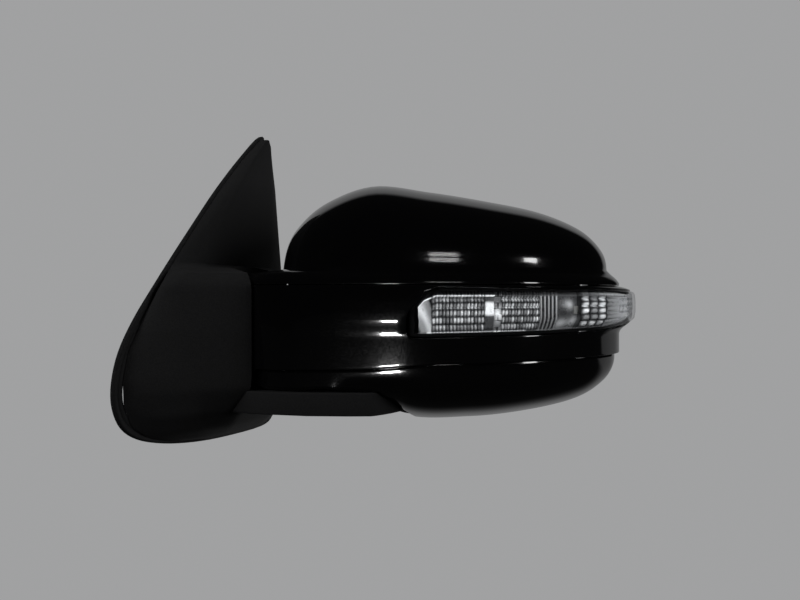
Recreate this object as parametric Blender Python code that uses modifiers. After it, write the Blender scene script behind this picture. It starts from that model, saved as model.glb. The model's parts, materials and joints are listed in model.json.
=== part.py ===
"""Left-hand door mirror of an SUV: base on the door, power-folding head, adjustable glass.

World frame: +X out from the door, -Y towards the front of the vehicle, +Z up. The origin is on the
door face (X = 0), straight inboard of the fold axis. Lengths below are in millimetres; MM turns them
into Blender's metres. The head is modelled in its own frame, whose origin is on the fold axis and
whose x axis runs outboard along the head, HEAD_YAW degrees back from +X.
"""
import math

import bmesh
import bpy
import numpy as np
from mathutils import Matrix

MM = 0.001
SLIVER = 0.004

# ---- driving dimensions, mm -------------------------------------------------------------------
AXIS_X = 74.0            # fold axis, out from the door face
HEAD_YAW = 25.0          # the head leans back from straight outboard, degrees
STUB_R = 59.0            # cylindrical inboard end of the head
RECESS_R = 60.5          # hollow in the base's neck that the stub turns in
RIM_Y = 50.0             # rear rim plane of the head covers, in the head's frame
BELT_TOP = 10.0          # upper edge of the front housing
BULGE_Z = -5.0           # height where the belt stands out furthest
BELT_TURN, BELT_FLAT = -11.0, -24.5   # below the bulge the belt turns in between these heights
CHAMFER_TOP = 18.5       # upper end of the chamfer band round the head and neck
DOME_FOOT = 22.0         # where the upper cover's dome starts
SEAM = 0.6               # open seam between two covers
WALL = 2.4               # wall of the moulded covers
FOOT_TOP = -61.5
FOOT_BOTTOM = -77.0
FOOT_R = 48.0            # rear part of the foot, about the fold axis
FOOT_NOSE_R = 72.5       # front corner of the foot, about the fold axis
FOOT_GAP = 1.5           # clearance of the head round the foot
DOOR_PAD = 8.0           # thickness of the bracket's door pad
GASKET = 3.0             # thickness of the rubber flange on the door face
GLASS_X = 111.0          # centre of the glass, in the head's frame
GIMBAL_Y = 33.0          # pivot centre of the glass
PLUNGER_ARM = 28.0       # plungers stand this far from the pivot centre
WHEEL_TEETH = 36
WHEEL_PITCH_R = 21.0
WORM_X = 25.6            # worm axis, out from the fold axis
DRIVE_Z = -24.0          # mid height of the worm wheel

# Plan of the belt as (x, y) beyond the cylindrical end: at mid height, and along its two edges.
ARC_START, ARC_END = 122.0, 262.0
BELT_MID = [(25, -63.2), (70, -66.5), (115, -64), (160, -55), (200, -38.5), (226, -18), (238, 3),
            (238.5, 20), (234, 36), (226.5, 50)]
BELT_EDGE = [(25, -62), (70, -65), (115, -61.5), (158, -51.5), (195, -35), (216, -16.5),
             (225.5, 2), (227.5, 18), (226.5, 35), (224.5, 50)]
# Foot of the dome (x, y) and the upper half of the rim (x, z), point for point.
DOME_PLAN = [(-31, 50), (-27, 15), (-20, -20), (-5, -42), (35, -55.5), (80, -58), (125, -53),
             (165, -42.5), (196, -26.5), (212.5, -7), (219.5, 18), (222, 50)]
RIM_UPPER = [(-31.5, 25), (-25.5, 43), (-13, 60), (9, 77), (43, 88.5), (85, 83.5), (125, 77),
             (165, 69), (195, 57.5), (211.5, 44.5), (219, 34), (223.5, 24.5)]
# Lower half of the rim (x, z): six points along the arc, then one for each point of BELT_EDGE.
RIM_LOWER = [(-31, -50), (-30, -56.5), (-26, -59.5), (-14, -60.1), (2, -60.3), (16, -60.5), (31, -61.5),
             (59, -87), (112, -89), (158, -84.5), (191, -77), (209, -66.5), (220, -54), (224, -46),
             (225.5, -41.5), (225.5, -39)]
LOWER_SEAM_Z = [(-60, -47), (40, -45.5), (85, -41.8), (130, -41.2), (190, -39.5), (240, -38.5)]
# Glass outline (x, z).
GLASS_OUTLINE = [(16, 4), (19, 40), (38, 61), (75, 67), (120, 62), (165, 53.5), (195, 38),
                 (207, 12), (207, -18), (200, -44), (180, -61), (145, -69), (100, -72), (66, -69),
                 (40, -54), (22, -30)]
# Door side of the base (Y, Z): sail apex first, then down the windscreen-pillar edge.
DOOR_OUTLINE = [(29, 134.5), (3, 112), (-26, 82.5), (-50, 55), (-70.5, 31), (-89.5, 8), (-106, -13),
                (-118, -33), (-123.5, -52), (-123, -68), (-116, -82), (-102, -91.5),
                (-80, -98), (-50, -102.5), (-15, -104.6), (30, -104.2), (45, -98), (50, -84),
                (52, -50), (50.5, 0), (48.5, 28), (41.5, 80), (35, 126)]
# Lamp window: its upper and lower edge as (x, z); it wraps the tip and ends at a plan fraction.
LENS_UPPER = [(65.5, -13), (67.5, -8), (78, 4.5), (86, 8.2), (200, 8.4), (240, 7.0)]
LENS_LOWER = [(65.5, -20), (68, -23.8), (73, -24.5), (160, -23), (215, -21), (234, -18.5), (240, -15)]
LENS_FROM, LENS_TO = 0.4605, 0.925

COLOURS = {
    "gloss": ((0.012, 0.012, 0.013), 0.12, 0.0),
    "textured": ((0.02, 0.02, 0.021), 0.6, 0.0),
    "rubber": ((0.018, 0.018, 0.018), 0.85, 0.0),
    "lens": ((0.9, 0.92, 0.93), 0.03, 0.0),
    "chrome": ((0.85, 0.86, 0.87), 0.1, 1.0),
    "steel": ((0.55, 0.56, 0.57), 0.35, 1.0),
    "alloy": ((0.5, 0.51, 0.52), 0.5, 1.0),
    "grey": ((0.1, 0.1, 0.105), 0.5, 0.0),
    "white": ((0.75, 0.75, 0.72), 0.45, 0.0),
    "board": ((0.03, 0.16, 0.08), 0.45, 0.0),
    "mirror": ((0.75, 0.78, 0.8), 0.02, 1.0),
}


# ---- scene and mesh helpers -------------------------------------------------------------------
def clear_scene():
    for obj in list(bpy.data.objects):
        bpy.data.objects.remove(obj, do_unlink=True)


def new_collection(name, hidden=False):
    collection = bpy.data.collections.new(name)
    bpy.context.scene.collection.children.link(collection)
    collection.hide_render = hidden
    return collection


def finish_name(node, kind):
    colour, roughness, metallic = COLOURS[kind]
    material = bpy.data.materials.new(node)
    material.use_nodes = True
    shader = material.node_tree.nodes["Principled BSDF"]
    shader.inputs["Base Color"].default_value = (*colour, 1)
    shader.inputs["Roughness"].default_value = roughness
    shader.inputs["Metallic"].default_value = metallic
    return material


def add_object(name, mesh, kind=None, parent=None):
    """A part when it has a kind of finish, otherwise a cutter."""
    obj = bpy.data.objects.new(name, mesh)
    (PARTS if kind else CUTTERS).objects.link(obj)
    obj.parent = parent
    if kind:
        mesh.materials.append(finish_name(name, kind))
    else:
        obj.hide_render = True
        obj.display_type = "WIRE"
    return obj


def mesh_of(points, faces, name="shape"):
    mesh = bpy.data.meshes.new(name)
    mesh.from_pydata([tuple(np.asarray(point) * MM) for point in points], [], faces)
    return mesh


def mesh_from_bmesh(bm, name="shape", smooth_angle=30):
    bmesh.ops.recalc_face_normals(bm, faces=bm.faces)
    mesh = bpy.data.meshes.new(name)
    bm.to_mesh(mesh)
    bm.free()
    mesh.shade_smooth()
    mesh.set_sharp_from_angle(angle=math.radians(smooth_angle))
    return mesh


def modifier(obj, kind, **settings):
    made = obj.modifiers.new(kind.title(), kind)
    for key, value in settings.items():
        setattr(made, key, value)
    return made


def apply_modifiers(obj):
    """Replaces the object's mesh by its evaluated mesh, so that later cuts start from it."""
    bpy.context.view_layer.update()
    evaluated = obj.evaluated_get(bpy.context.evaluated_depsgraph_get())
    mesh = bpy.data.meshes.new_from_object(evaluated)
    obj.modifiers.clear()
    obj.data = mesh
    return obj


def combine(obj, *others, how="DIFFERENCE"):
    for other in others:
        modifier(obj, "BOOLEAN", operation=how, solver="EXACT", object=other)
    apply_modifiers(obj)
    clean(obj.data)
    for other in others:
        bpy.data.objects.remove(other, do_unlink=True)
    return obj


def clean(mesh):
    """Welds the hair-thin slivers that a cut can leave."""
    bm = bmesh.new()
    bm.from_mesh(mesh)
    bmesh.ops.remove_doubles(bm, verts=bm.verts, dist=SLIVER * MM)
    bmesh.ops.dissolve_degenerate(bm, edges=bm.edges, dist=SLIVER * MM)
    bm.to_mesh(mesh)
    bm.free()


def box_mesh(low, high, bevel=0.0):
    low, high = np.array(low, float), np.array(high, float)
    bm = bmesh.new()
    bmesh.ops.create_cube(bm, size=1.0)
    bmesh.ops.scale(bm, vec=(high - low) * MM, verts=bm.verts)
    bmesh.ops.translate(bm, vec=(high + low) / 2 * MM, verts=bm.verts)
    if bevel:
        bmesh.ops.bevel(bm, geom=bm.edges[:], offset=bevel * MM, segments=1, affect="EDGES")
    return mesh_from_bmesh(bm)


DIRECTIONS = {"x": Matrix.Rotation(math.pi / 2, 4, "Y"), "z": Matrix.Identity(4),
              "y": Matrix.Rotation(-math.pi / 2, 4, "X")}


def rod_mesh(start, length, radius, along="z", segments=24, radius_end=None):
    """A cylinder or cone that starts at a point and runs along +x, +y or +z."""
    bm = bmesh.new()
    bmesh.ops.create_cone(bm, cap_ends=True, segments=segments, radius1=radius * MM,
                          radius2=(radius if radius_end is None else radius_end) * MM,
                          depth=length * MM,
                          matrix=Matrix.Translation((0, 0, length / 2 * MM)))
    place = Matrix.Translation(np.array(start, float) * MM) @ DIRECTIONS[along]
    bmesh.ops.transform(bm, matrix=place, verts=bm.verts)
    return mesh_from_bmesh(bm)


def turned(name, profile, kind, parent=None, centre=(0, 0, 0), along="z", steps=32):
    """A solid of revolution: its closed (radius, height) profile runs down its outer side."""
    points = [(radius, 0, height) for radius, height in profile]
    closed = profile[0][0] > 0
    edges = [(i, i + 1) for i in range(len(points) - 1)]
    if closed:
        edges.append((len(points) - 1, 0))
    mesh = bpy.data.meshes.new(name)
    mesh.from_pydata([tuple(np.array(point) * MM) for point in points], edges, [])
    obj = add_object(name, mesh, kind, parent)
    modifier(obj, "SCREW", angle=math.tau, steps=steps, render_steps=steps, axis="Z",
             use_merge_vertices=True, merge_threshold=1e-5, use_normal_calculate=True)
    apply_modifiers(obj)
    obj.data.transform(Matrix.Translation(np.array(centre, float) * MM) @ DIRECTIONS[along])
    bm = bmesh.new()
    bm.from_mesh(obj.data)
    bmesh.ops.remove_doubles(bm, verts=bm.verts, dist=SLIVER * MM)
    bmesh.ops.recalc_face_normals(bm, faces=bm.faces)
    bm.to_mesh(obj.data)
    bm.free()
    return obj


def prism_mesh(outline, low, high, along="z"):
    """A straight extrusion of a closed outline, from low to high along an axis."""
    place = {"z": lambda a, b, c: (a, b, c), "y": lambda a, b, c: (a, c, b),
             "x": lambda a, b, c: (c, a, b)}[along]
    count = len(outline)
    points = [place(a, b, level) for level in (low, high) for a, b in outline]
    faces = [tuple(range(count)), tuple(range(count, 2 * count))]
    faces += [(i, (i + 1) % count, count + (i + 1) % count, count + i) for i in range(count)]
    bm = bmesh.new()
    bm.from_mesh(mesh_of(points, faces))
    return mesh_from_bmesh(bm)


# ---- curves and lofts -------------------------------------------------------------------------
def smooth_through(points, where, closed=False):
    """Cubic curve through the points, read at fractional point numbers."""
    points = np.array(points, float)
    count = len(points)
    if closed:
        slopes = (np.roll(points, -1, axis=0) - np.roll(points, 1, axis=0)) / 2
    else:
        slopes = np.gradient(points, axis=0)
    where = np.asarray(where, float)
    first = np.floor(where).astype(int)
    first = first % count if closed else np.clip(first, 0, count - 2)
    second = (first + 1) % count
    t = (where - np.floor(where) if closed else where - first)[..., None]
    return ((2 * t**3 - 3 * t**2 + 1) * points[first] + (t**3 - 2 * t**2 + t) * slopes[first]
            + (3 * t**2 - 2 * t**3) * points[second] + (t**3 - t**2) * slopes[second])


def belt_plans(fraction):
    """Mid and edge plan curves of the belt at a fraction 0..1: the arc first, then the front."""
    fraction = np.asarray(fraction, float)
    arc_share = ARC_SHARE
    angle = np.radians(ARC_START + (ARC_END - ARC_START) * np.minimum(fraction / arc_share, 1))
    arc = STUB_R * np.stack([np.cos(angle), np.sin(angle)], axis=-1)
    end = STUB_R * np.array([math.cos(math.radians(ARC_END)), math.sin(math.radians(ARC_END))])
    number = np.maximum(fraction - arc_share, 0) / (1 - arc_share) * len(BELT_MID)
    on_arc = (fraction <= arc_share)[..., None]
    mid = np.where(on_arc, arc, smooth_through([tuple(end)] + BELT_MID, number))
    edge = np.where(on_arc, arc, smooth_through([tuple(end)] + BELT_EDGE, number))
    return mid, edge


ARC_SHARE = 5 / 15       # the arc counts as five of the fifteen spans of the belt's plan
SPANS = 15


def belt_bottom(x):
    at, heights = zip(*LOWER_SEAM_Z)
    return np.interp(x, at, heights)


def outward(plan):
    """Unit normals in plan, pointing out of the head, for a curve that runs arc first."""
    along = np.gradient(plan, axis=0)
    along /= np.linalg.norm(along, axis=1)[:, None]
    return np.stack([along[:, 1], -along[:, 0]], axis=1)


def belt_point(fraction, height, inset=0.0):
    """Points on the belt at plan fractions and heights, moved inwards by inset."""
    fraction = np.asarray(fraction, float)
    mid, edge = belt_plans(fraction)
    above = np.clip((height - BULGE_Z) / (BELT_TOP - BULGE_Z), 0, 1) ** 6
    turn = np.clip((BELT_TURN - height) / (BELT_TURN - BELT_FLAT), 0, 1)
    bulge = np.atleast_1d(1 - above - turn**2 * (3 - 2 * turn))[:, None]
    plan = edge + (mid - edge) * bulge
    plan = plan - outward(plan) * np.reshape(inset, (-1, 1))
    return np.column_stack([plan, np.broadcast_to(height, fraction.shape)])


def quad_faces(rows, columns, wrap=False):
    span = columns if wrap else columns - 1
    return [(r * columns + c, r * columns + (c + 1) % columns,
             (r + 1) * columns + (c + 1) % columns, (r + 1) * columns + c)
            for r in range(rows - 1) for c in range(span)]


def skin(name, grid, kind, parent, thickness=WALL, flip=False):
    """A cover: an open grid of points, thickened inwards."""
    grid = np.array(grid)
    faces = quad_faces(*grid.shape[:2])
    if flip:
        faces = [face[::-1] for face in faces]
    obj = add_object(name, mesh_of(grid.reshape(-1, 3), faces), kind, parent)
    modifier(obj, "SOLIDIFY", thickness=thickness * MM, offset=-1, use_even_offset=True)
    return apply_modifiers(obj)


def closed_loft_mesh(rings):
    """A solid through rings of equal point counts, with its first and last ring capped."""
    rings = np.array(rings)
    count, columns = rings.shape[:2]
    faces = quad_faces(count, columns, wrap=True)
    faces += [tuple(range(columns)), tuple(range((count - 1) * columns, count * columns))]
    bm = bmesh.new()
    bm.from_mesh(mesh_of(rings.reshape(-1, 3), faces))
    bmesh.ops.triangulate(bm, faces=[face for face in bm.faces if len(face.verts) > 4])
    return mesh_from_bmesh(bm)


def closed_ring_mesh(sections):
    """A closed hoop: the same closed section at every station round the hoop."""
    sections = np.array(sections)
    stations, around = sections.shape[:2]
    faces = [(s * around + a, s * around + (a + 1) % around,
              (s + 1) % stations * around + (a + 1) % around, (s + 1) % stations * around + a)
             for s in range(stations) for a in range(around)]
    bm = bmesh.new()
    bm.from_mesh(mesh_of(sections.reshape(-1, 3), faces))
    return mesh_from_bmesh(bm)


# ---- head covers ------------------------------------------------------------------------------
BELT_NUMBERS = [0, 5, 6, 7, 8, 9, 10, 11, 12, 13, 14, 15]
DOME_NUMBERS = [0, 3, 3.7, 4.8, 5.75, 6.85, 7.95, 8.9, 9.7, 10.2, 10.6, 11]
DOME_POWER = 0.8         # below 1 makes the quarter sections of the covers squarer
COLUMNS = 36


def quarter(start, rim, steps, upright=False, square=0.0):
    """Rows of points from a start curve to the rim: out along the rim plane, back along y.

    Upright walls leave the start curve straight. Where square is 1 the section is a wall with a
    small round corner and a flat floor.
    """
    rows = []
    for share in np.linspace(0, 1, steps + 1)[1:]:
        angle = math.pi / 2 * share
        rise = math.sin(angle) ** DOME_POWER
        run = math.cos(angle) ** DOME_POWER if share < 1 else 0.0
        rise = rise + (np.interp(share, [0, 0.3, 0.42, 1], [0, 0.82, 1, 1]) - rise) * square
        run = run + (np.interp(share, [0, 0.3, 0.42, 1], [1, 1, 0.97, 0]) - run) * square
        x = start[:, 0] + (rim[:, 0] - start[:, 0]) * (1 - run if upright else rise)
        z = start[:, 2] + (rim[:, 1] - start[:, 2]) * rise
        y = RIM_Y + (start[:, 1] - RIM_Y) * run
        rows.append(np.column_stack([x, y, z]))
    return rows


def upper_cover_grid(fractions, dome_steps):
    edge = belt_point(fractions, BELT_TOP)[:, :2]
    normal = outward(edge)
    numbers = np.interp(fractions * SPANS, BELT_NUMBERS, DOME_NUMBERS)
    foot = smooth_through(DOME_PLAN, numbers)
    rim = smooth_through(RIM_UPPER, numbers)
    fade = np.clip((RIM_Y - edge[:, 1]) / 12, 0, 1)[:, None]
    rows = [np.column_stack([edge, np.full(len(edge), BELT_TOP + SEAM)]),
            np.column_stack([edge, np.full(len(edge), BELT_TOP + 2.4)]),
            np.column_stack([edge - normal * 5.5 * fade, np.full(len(edge), CHAMFER_TOP)])]
    start = np.column_stack([foot, np.full(len(foot), DOME_FOOT)])
    return rows + [start] + quarter(start, rim, dome_steps)


def lower_cover_grid(fractions, steps):
    edge = belt_point(fractions, BELT_TOP, inset=3.4)[:, :2]
    edge[:, 1] = np.minimum(edge[:, 1], RIM_Y)
    seam = belt_bottom(edge[:, 0]) - SEAM
    rim = smooth_through(RIM_LOWER, fractions * SPANS)
    start = np.column_stack([edge, seam - 2.0])
    square = np.interp(fractions, [0.39, 0.45], [1, 0])
    return [np.column_stack([edge, seam]), start] + quarter(start, rim, steps, True, square)


def belt_grid(fractions, rows):
    low = belt_bottom(belt_plans(fractions)[0][:, 0])
    return [belt_point(fractions, low + (BELT_TOP - low) * row / rows) for row in range(rows + 1)]


def lens_edges(x, shrink):
    upper = np.interp(x, *zip(*LENS_UPPER)) - shrink
    lower = np.interp(x, *zip(*LENS_LOWER)) + shrink
    return lower, upper


LENS_MARKS = LENS_FROM + (LENS_TO - LENS_FROM) * np.linspace(0, 1, 18) ** 1.5


def belt_slab_mesh(start, end, shrink, outer, inner, stations=0, rows=4, edges=lens_edges):
    """A closed slab behind the belt's surface, between two insets, within the lamp's outline."""
    if stations:
        fractions = np.linspace(start, end, stations)
    else:
        fractions = np.r_[start, LENS_MARKS[(LENS_MARKS > start + 1e-3) & (LENS_MARKS < end - 1e-3)], end]
    inner = np.interp(fractions, *inner) if isinstance(inner, tuple) else inner
    low, high = edges(belt_plans(fractions)[0][:, 0], shrink)
    levels = [low + (high - low) * row / (rows - 1) for row in range(rows)]
    ring = [belt_point(fractions, level, outer) for level in levels]
    ring += [belt_point(fractions, level, inner) for level in levels[::-1]]
    return closed_loft_mesh(np.stack(ring, axis=1))


def foot_outline(grow, reach=0.0):
    """Plan of the foot in the head's frame at rest; reach turns its nose on, for the clearance."""
    nose, round_r = FOOT_NOSE_R + grow, FOOT_R + grow
    angles = np.radians(np.linspace(-51, -25 + reach, 5 if not reach else 9))
    points = [(nose * math.cos(a), nose * math.sin(a)) for a in angles]
    last = math.radians(8 if not reach else -15 + reach)
    points += [(round_r * math.cos(a), round_r * math.sin(a)) for a in np.linspace(last, math.pi, 12)]
    return points


def make_head_covers(head):
    fractions = np.linspace(0, 1, COLUMNS + 1)
    skin("upper_cover", upper_cover_grid(fractions, 6), "gloss", head)
    lower = skin("lower_cover", lower_cover_grid(fractions, 5), "gloss", head, flip=True)
    clearance = foot_outline(FOOT_GAP, reach=45) + [(-120, 0), (-120, -120), (58.6, -120)]
    cutter = prism_mesh(clearance, -120, FOOT_TOP + 0.8)
    hub_hole = add_object("hub_hole", rod_mesh((0, 0, -70), 30, 24.8, segments=32), parent=head)
    combine(lower, add_object("foot_clearance", cutter, parent=head), hub_hole)
    housing = skin("front_housing", belt_grid(fractions, 5), "gloss", head)
    window = belt_slab_mesh(LENS_FROM, LENS_TO, 0, -6, 12)
    combine(housing, add_object("lamp_window", window, parent=head))


def make_lamp(head):
    margin = 0.004
    lens = belt_slab_mesh(LENS_FROM + margin, LENS_TO - margin, 1.1, 0, 2.0)
    add_object("lamp_lens", lens, "lens", head)
    seal = belt_slab_mesh(LENS_FROM + margin, LENS_TO - margin, 0.4, 2.6, 4.0)
    hole = belt_slab_mesh(LENS_FROM + 0.008, LENS_TO - 0.008, 2.4, 1.5, 5.0)
    combine(add_object("lamp_gasket", seal, "rubber", head), add_object("hole", hole, parent=head))
    depth = ([0, 0.66, 0.8, 1], [20, 20, 10, 9])
    hollow = ([0, 0.66, 0.8, 1], [18, 18, 8.3, 7.3])
    tray = belt_slab_mesh(LENS_FROM + margin, LENS_TO - margin, 0.4, 4.4, depth)
    hole = belt_slab_mesh(LENS_FROM + 0.008, LENS_TO - 0.008, 2.2, 4.0, hollow)
    combine(add_object("lamp_housing", tray, "grey", head), add_object("hole", hole, parent=head))
    back = ([0, 1], [8.0, 6.6])
    reflector = belt_slab_mesh(LENS_FROM + 0.012, 0.79, 3.4, 5.4, back)
    add_object("lamp_reflector", reflector, "chrome", head)
    board = belt_slab_mesh(LENS_FROM + 0.02, 0.66, 4.5, 14.5, 16.0, stations=10)
    add_object("lamp_board", board, "board", head)
    for number in range(LAMP_LEDS):
        start = 0.49 + 0.038 * number
        led = belt_slab_mesh(start, start + 0.012, 12.5, 10.5, 14.1, stations=3, rows=2)
        add_object(f"lamp_led_{number + 1}", led, "white", head)


LAMP_LEDS = 5


def around(outline, centre, angles, offset=0.0):
    """Points of a star-shaped closed outline, offset radially, at angles about a centre."""
    curve = smooth_through(outline, np.arange(0, len(outline), 0.1), closed=True) - centre
    bearing = np.unwrap(np.arctan2(curve[:, 1], curve[:, 0]))
    if bearing[-1] < bearing[0]:
        curve, bearing = curve[::-1], bearing[::-1]
    reach = np.linalg.norm(curve, axis=1)
    radius = np.interp(angles, np.r_[bearing - math.tau, bearing, bearing + math.tau],
                       np.tile(reach, 3)) + offset
    return np.column_stack([radius * np.cos(angles), radius * np.sin(angles)]) + centre


GLASS_CENTRE = np.array([100.0, 0.0])
GLASS_STATIONS = 40
GLASS_ROOM = 4.0         # open band between the glass and its surround


def rim_outline():
    return RIM_UPPER + RIM_LOWER[::-1]


def glass_angles():
    return np.arange(GLASS_STATIONS) * math.tau / GLASS_STATIONS


def make_bezel(head):
    rim = lambda offset: around(rim_outline(), GLASS_CENTRE, glass_angles(), offset)
    opening = lambda offset: around(GLASS_OUTLINE, GLASS_CENTRE, glass_angles(), GLASS_ROOM + offset)
    profile = [(rim(0.6), 51.4), (rim(0.6), 53.2), (rim(-1.2), 54.8), (opening(1.5), 54.2),
               (opening(0), 52.8), (opening(0), 30), (opening(2.2), 30), (opening(2.2), 51.4)]
    swing = STUB_R + 0.4
    sections = np.stack([np.column_stack([np.maximum(plan[:, 0], -math.sqrt(swing**2 - y**2)),
                                          np.full(len(plan), y), plan[:, 1]])
                         for plan, y in profile], axis=1)
    add_object("rear_bezel", closed_ring_mesh(sections), "gloss", head)


def make_glass(head):
    for name, offset, low, high, kind in (("glass_plate", -1.5, 39.0, 41.5, "grey"),
                                          ("glass_heater", -4, 41.8, 42.4, "rubber"),
                                          ("mirror_glass", 0, 42.7, 44.9, "mirror")):
        outline = around(GLASS_OUTLINE, GLASS_CENTRE, glass_angles(), offset)
        add_object(name, prism_mesh(outline, low, high, "y"), kind, head)


# ---- base on the door -------------------------------------------------------------------------
COVER_WALL = 2.8
# How far the cover's edge stands inside the door outline, by height.
EDGE_INSET = [(-60, 6.5), (-15, 5.0), (25, 2.0), (134, 1.5)]
# Plan points (X, Y) of the neck at each height: bulge, ridge, corner, hollow, cheek, rear.
NECK = {
    -103: [(4.5, -25), (5, -18), (5, 0), (5, 15), (4.5, 22), (4, 26)],
    -99: [(8, -60), (11, -48), (14, -30), (14, 10), (9, 31), (6, 38)],
    -90: [(12, -84), (21, -66), (30, -42), (29, 5), (13, 36), (8, 44)],
    -77: [(14, -100), (29, -77), (47, -54), (45, 12), (15, 38), (10, 47)],
    -60: [(14, -107), (32, -82), (61, -56), (50, 10), (13, 36), (11, 49.5)],
    -50: [(13.5, -107), (31.5, -82.5), (66, -53), (46, 15), (12.8, 35), (11, 50)],
    -20: [(11, -101), (25.5, -87), (66, -53), (44, 15), (12.8, 35), (11, 49.3)],
    10: [(10, -90), (18, -89), (66, -53.5), (42, 15), (12.8, 33.5), (11, 48)],
    18.5: [(11.5, -81), (22, -81), (64, -51), (41, 14), (12.6, 32), (11, 47)],
    21.8: [(11.5, -77), (23, -77.5), (61, -48.5), (38, 10), (12.6, 28), (11, 46.8)],
}
LEVELS = [-103, -99, -95, -90, -84, -77, -69, -60, -50, -35, -20, -5, 10, 18.5, 21.8, 22.6, 30,
          42, 56, 72, 90, 108, 122, 130.5]


def door_edges(z):
    """Front and rear Y of the door outline at a height."""
    front = DOOR_OUTLINE[:16]
    rear = DOOR_OUTLINE[15:] + DOOR_OUTLINE[:1]
    return (np.interp(-z, [-p[1] for p in front], [p[0] for p in front]),
            np.interp(z, [p[1] for p in rear], [p[0] for p in rear]))


def sail_row(z, front, rear):
    width = rear - front
    thick = np.interp(z, [90, 134], [12.8, 9.5])
    shares = (0.06, 0.16, 0.4, 0.65, 0.85)
    depths = (0.62, 0.95, 1.0, 1.0, 0.98)
    points = [(thick * depth, front + width * share) for depth, share in zip(depths, shares)]
    return points + [(thick * 0.85, rear - 1.6)]


def neck_row(z):
    heights = sorted(NECK)
    table = np.array([NECK[height] for height in heights], float)
    return [tuple(np.interp(z, heights, table[:, i, k]) for k in (0, 1)) for i in range(6)]


def base_ring(z):
    """One closed plan ring (X, Y) of the base cover, from the front edge round to the rear edge."""
    front, rear = door_edges(z)
    inset = np.interp(z, *zip(*EDGE_INSET))
    if z < -101:
        front, rear = -36.0, 30.0
    front = front + inset
    row = sail_row(z, front, rear) if z > 22 else neck_row(z)
    edge = GASKET + 0.4
    dome = smooth_through([(edge, front), row[0], row[1]], [0, 0.5, 1, 1.5])
    return np.array([*map(tuple, dome), *row[1:], (edge, rear - 1.5)])


def shrink_ring(ring, distance):
    """Moves a closed counter-clockwise-in-plan ring inwards along its corner normals."""
    before, after = np.roll(ring, 1, axis=0), np.roll(ring, -1, axis=0)
    one = (ring - before) / np.linalg.norm(ring - before, axis=1)[:, None]
    two = (after - ring) / np.linalg.norm(after - ring, axis=1)[:, None]
    normal_one = np.stack([-one[:, 1], one[:, 0]], axis=1)
    normal_two = np.stack([-two[:, 1], two[:, 0]], axis=1)
    middle = normal_one + normal_two
    middle /= np.linalg.norm(middle, axis=1)[:, None]
    cosine = np.clip((middle * normal_one).sum(axis=1), 0.6, 1)
    return ring + middle * (distance / cosine)[:, None]


def at_height(ring, z):
    return np.column_stack([ring, np.full(len(ring), z)])


def inner_ring(z):
    """The ring inside the one at height z, lower under a top surface and higher over the underside."""
    ring = shrink_ring(base_ring(z), COVER_WALL)
    ring[0, 0] = ring[-1, 0] = -5.0
    return at_height(ring, z + np.interp(z, [-75, -55, 0, 8], [COVER_WALL, 0, 0, -COVER_WALL]))


def fold_cylinder(radius, low, high, name="cutter"):
    mesh = rod_mesh((AXIS_X, 0, low), high - low, radius, segments=96)
    return add_object(name, mesh)


def make_base_cover(head):
    outer = closed_loft_mesh([at_height(base_ring(z), z) for z in LEVELS])
    cover = add_object("base_cover", outer, "textured")
    combine(cover, fold_cylinder(RECESS_R, FOOT_TOP - 0.3, 60))
    foot = prism_mesh(foot_outline(0) + FOOT_FRONT, FOOT_BOTTOM, FOOT_TOP)
    foot = add_object("foot", foot, parent=head)
    combine(cover, foot, how="UNION")
    inside = closed_loft_mesh([inner_ring(z) for z in LEVELS if -99 <= z <= 122])
    inside = add_object("inside", inside)
    combine(inside, fold_cylinder(RECESS_R + COVER_WALL, FOOT_TOP - COVER_WALL - 0.4, 60))
    pocket = [(x * 0.95, y * 0.95) for x, y in foot_outline(-1) + FOOT_FRONT]
    pocket = prism_mesh(pocket, FOOT_BOTTOM + COVER_WALL, FOOT_TOP - COVER_WALL)
    combine(inside, add_object("pocket", pocket, parent=head), how="UNION")
    combine(cover, inside)
    combine(cover, fold_cylinder(28.5, FOOT_TOP - 6, FOOT_TOP + 6))


FOOT_FRONT = [(-57, 0), (-75, -30), (-38, -48), (0, -57), (28, -58.3), (43, -57.8)]


def make_gasket():
    outline = np.array(DOOR_OUTLINE, float)
    inner = shrink_ring(outline, 7.0)
    outer_lip = shrink_ring(outline, 1.0)
    rings = [(outline, 0.0), (outline, 2.0), (outer_lip, GASKET), (inner, GASKET), (inner, 0.0)]
    sections = np.stack([np.column_stack([np.full(len(plan), x), plan]) for plan, x in rings], axis=1)
    add_object("base_gasket", closed_ring_mesh(sections), "rubber")


PIVOT_SCREW_R = 22.6
PIVOT_SCREW_ANGLES = (34, 154, 274)
STUDS = [(-44, -30), (32, -30), (-14, 4)]     # (Y, Z) of the M6 studs on the door pad
GROMMET = (-8, -48)


def pivot_screw_places():
    return [(AXIS_X + PIVOT_SCREW_R * math.cos(math.radians(a)),
             PIVOT_SCREW_R * math.sin(math.radians(a))) for a in PIVOT_SCREW_ANGLES]


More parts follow.
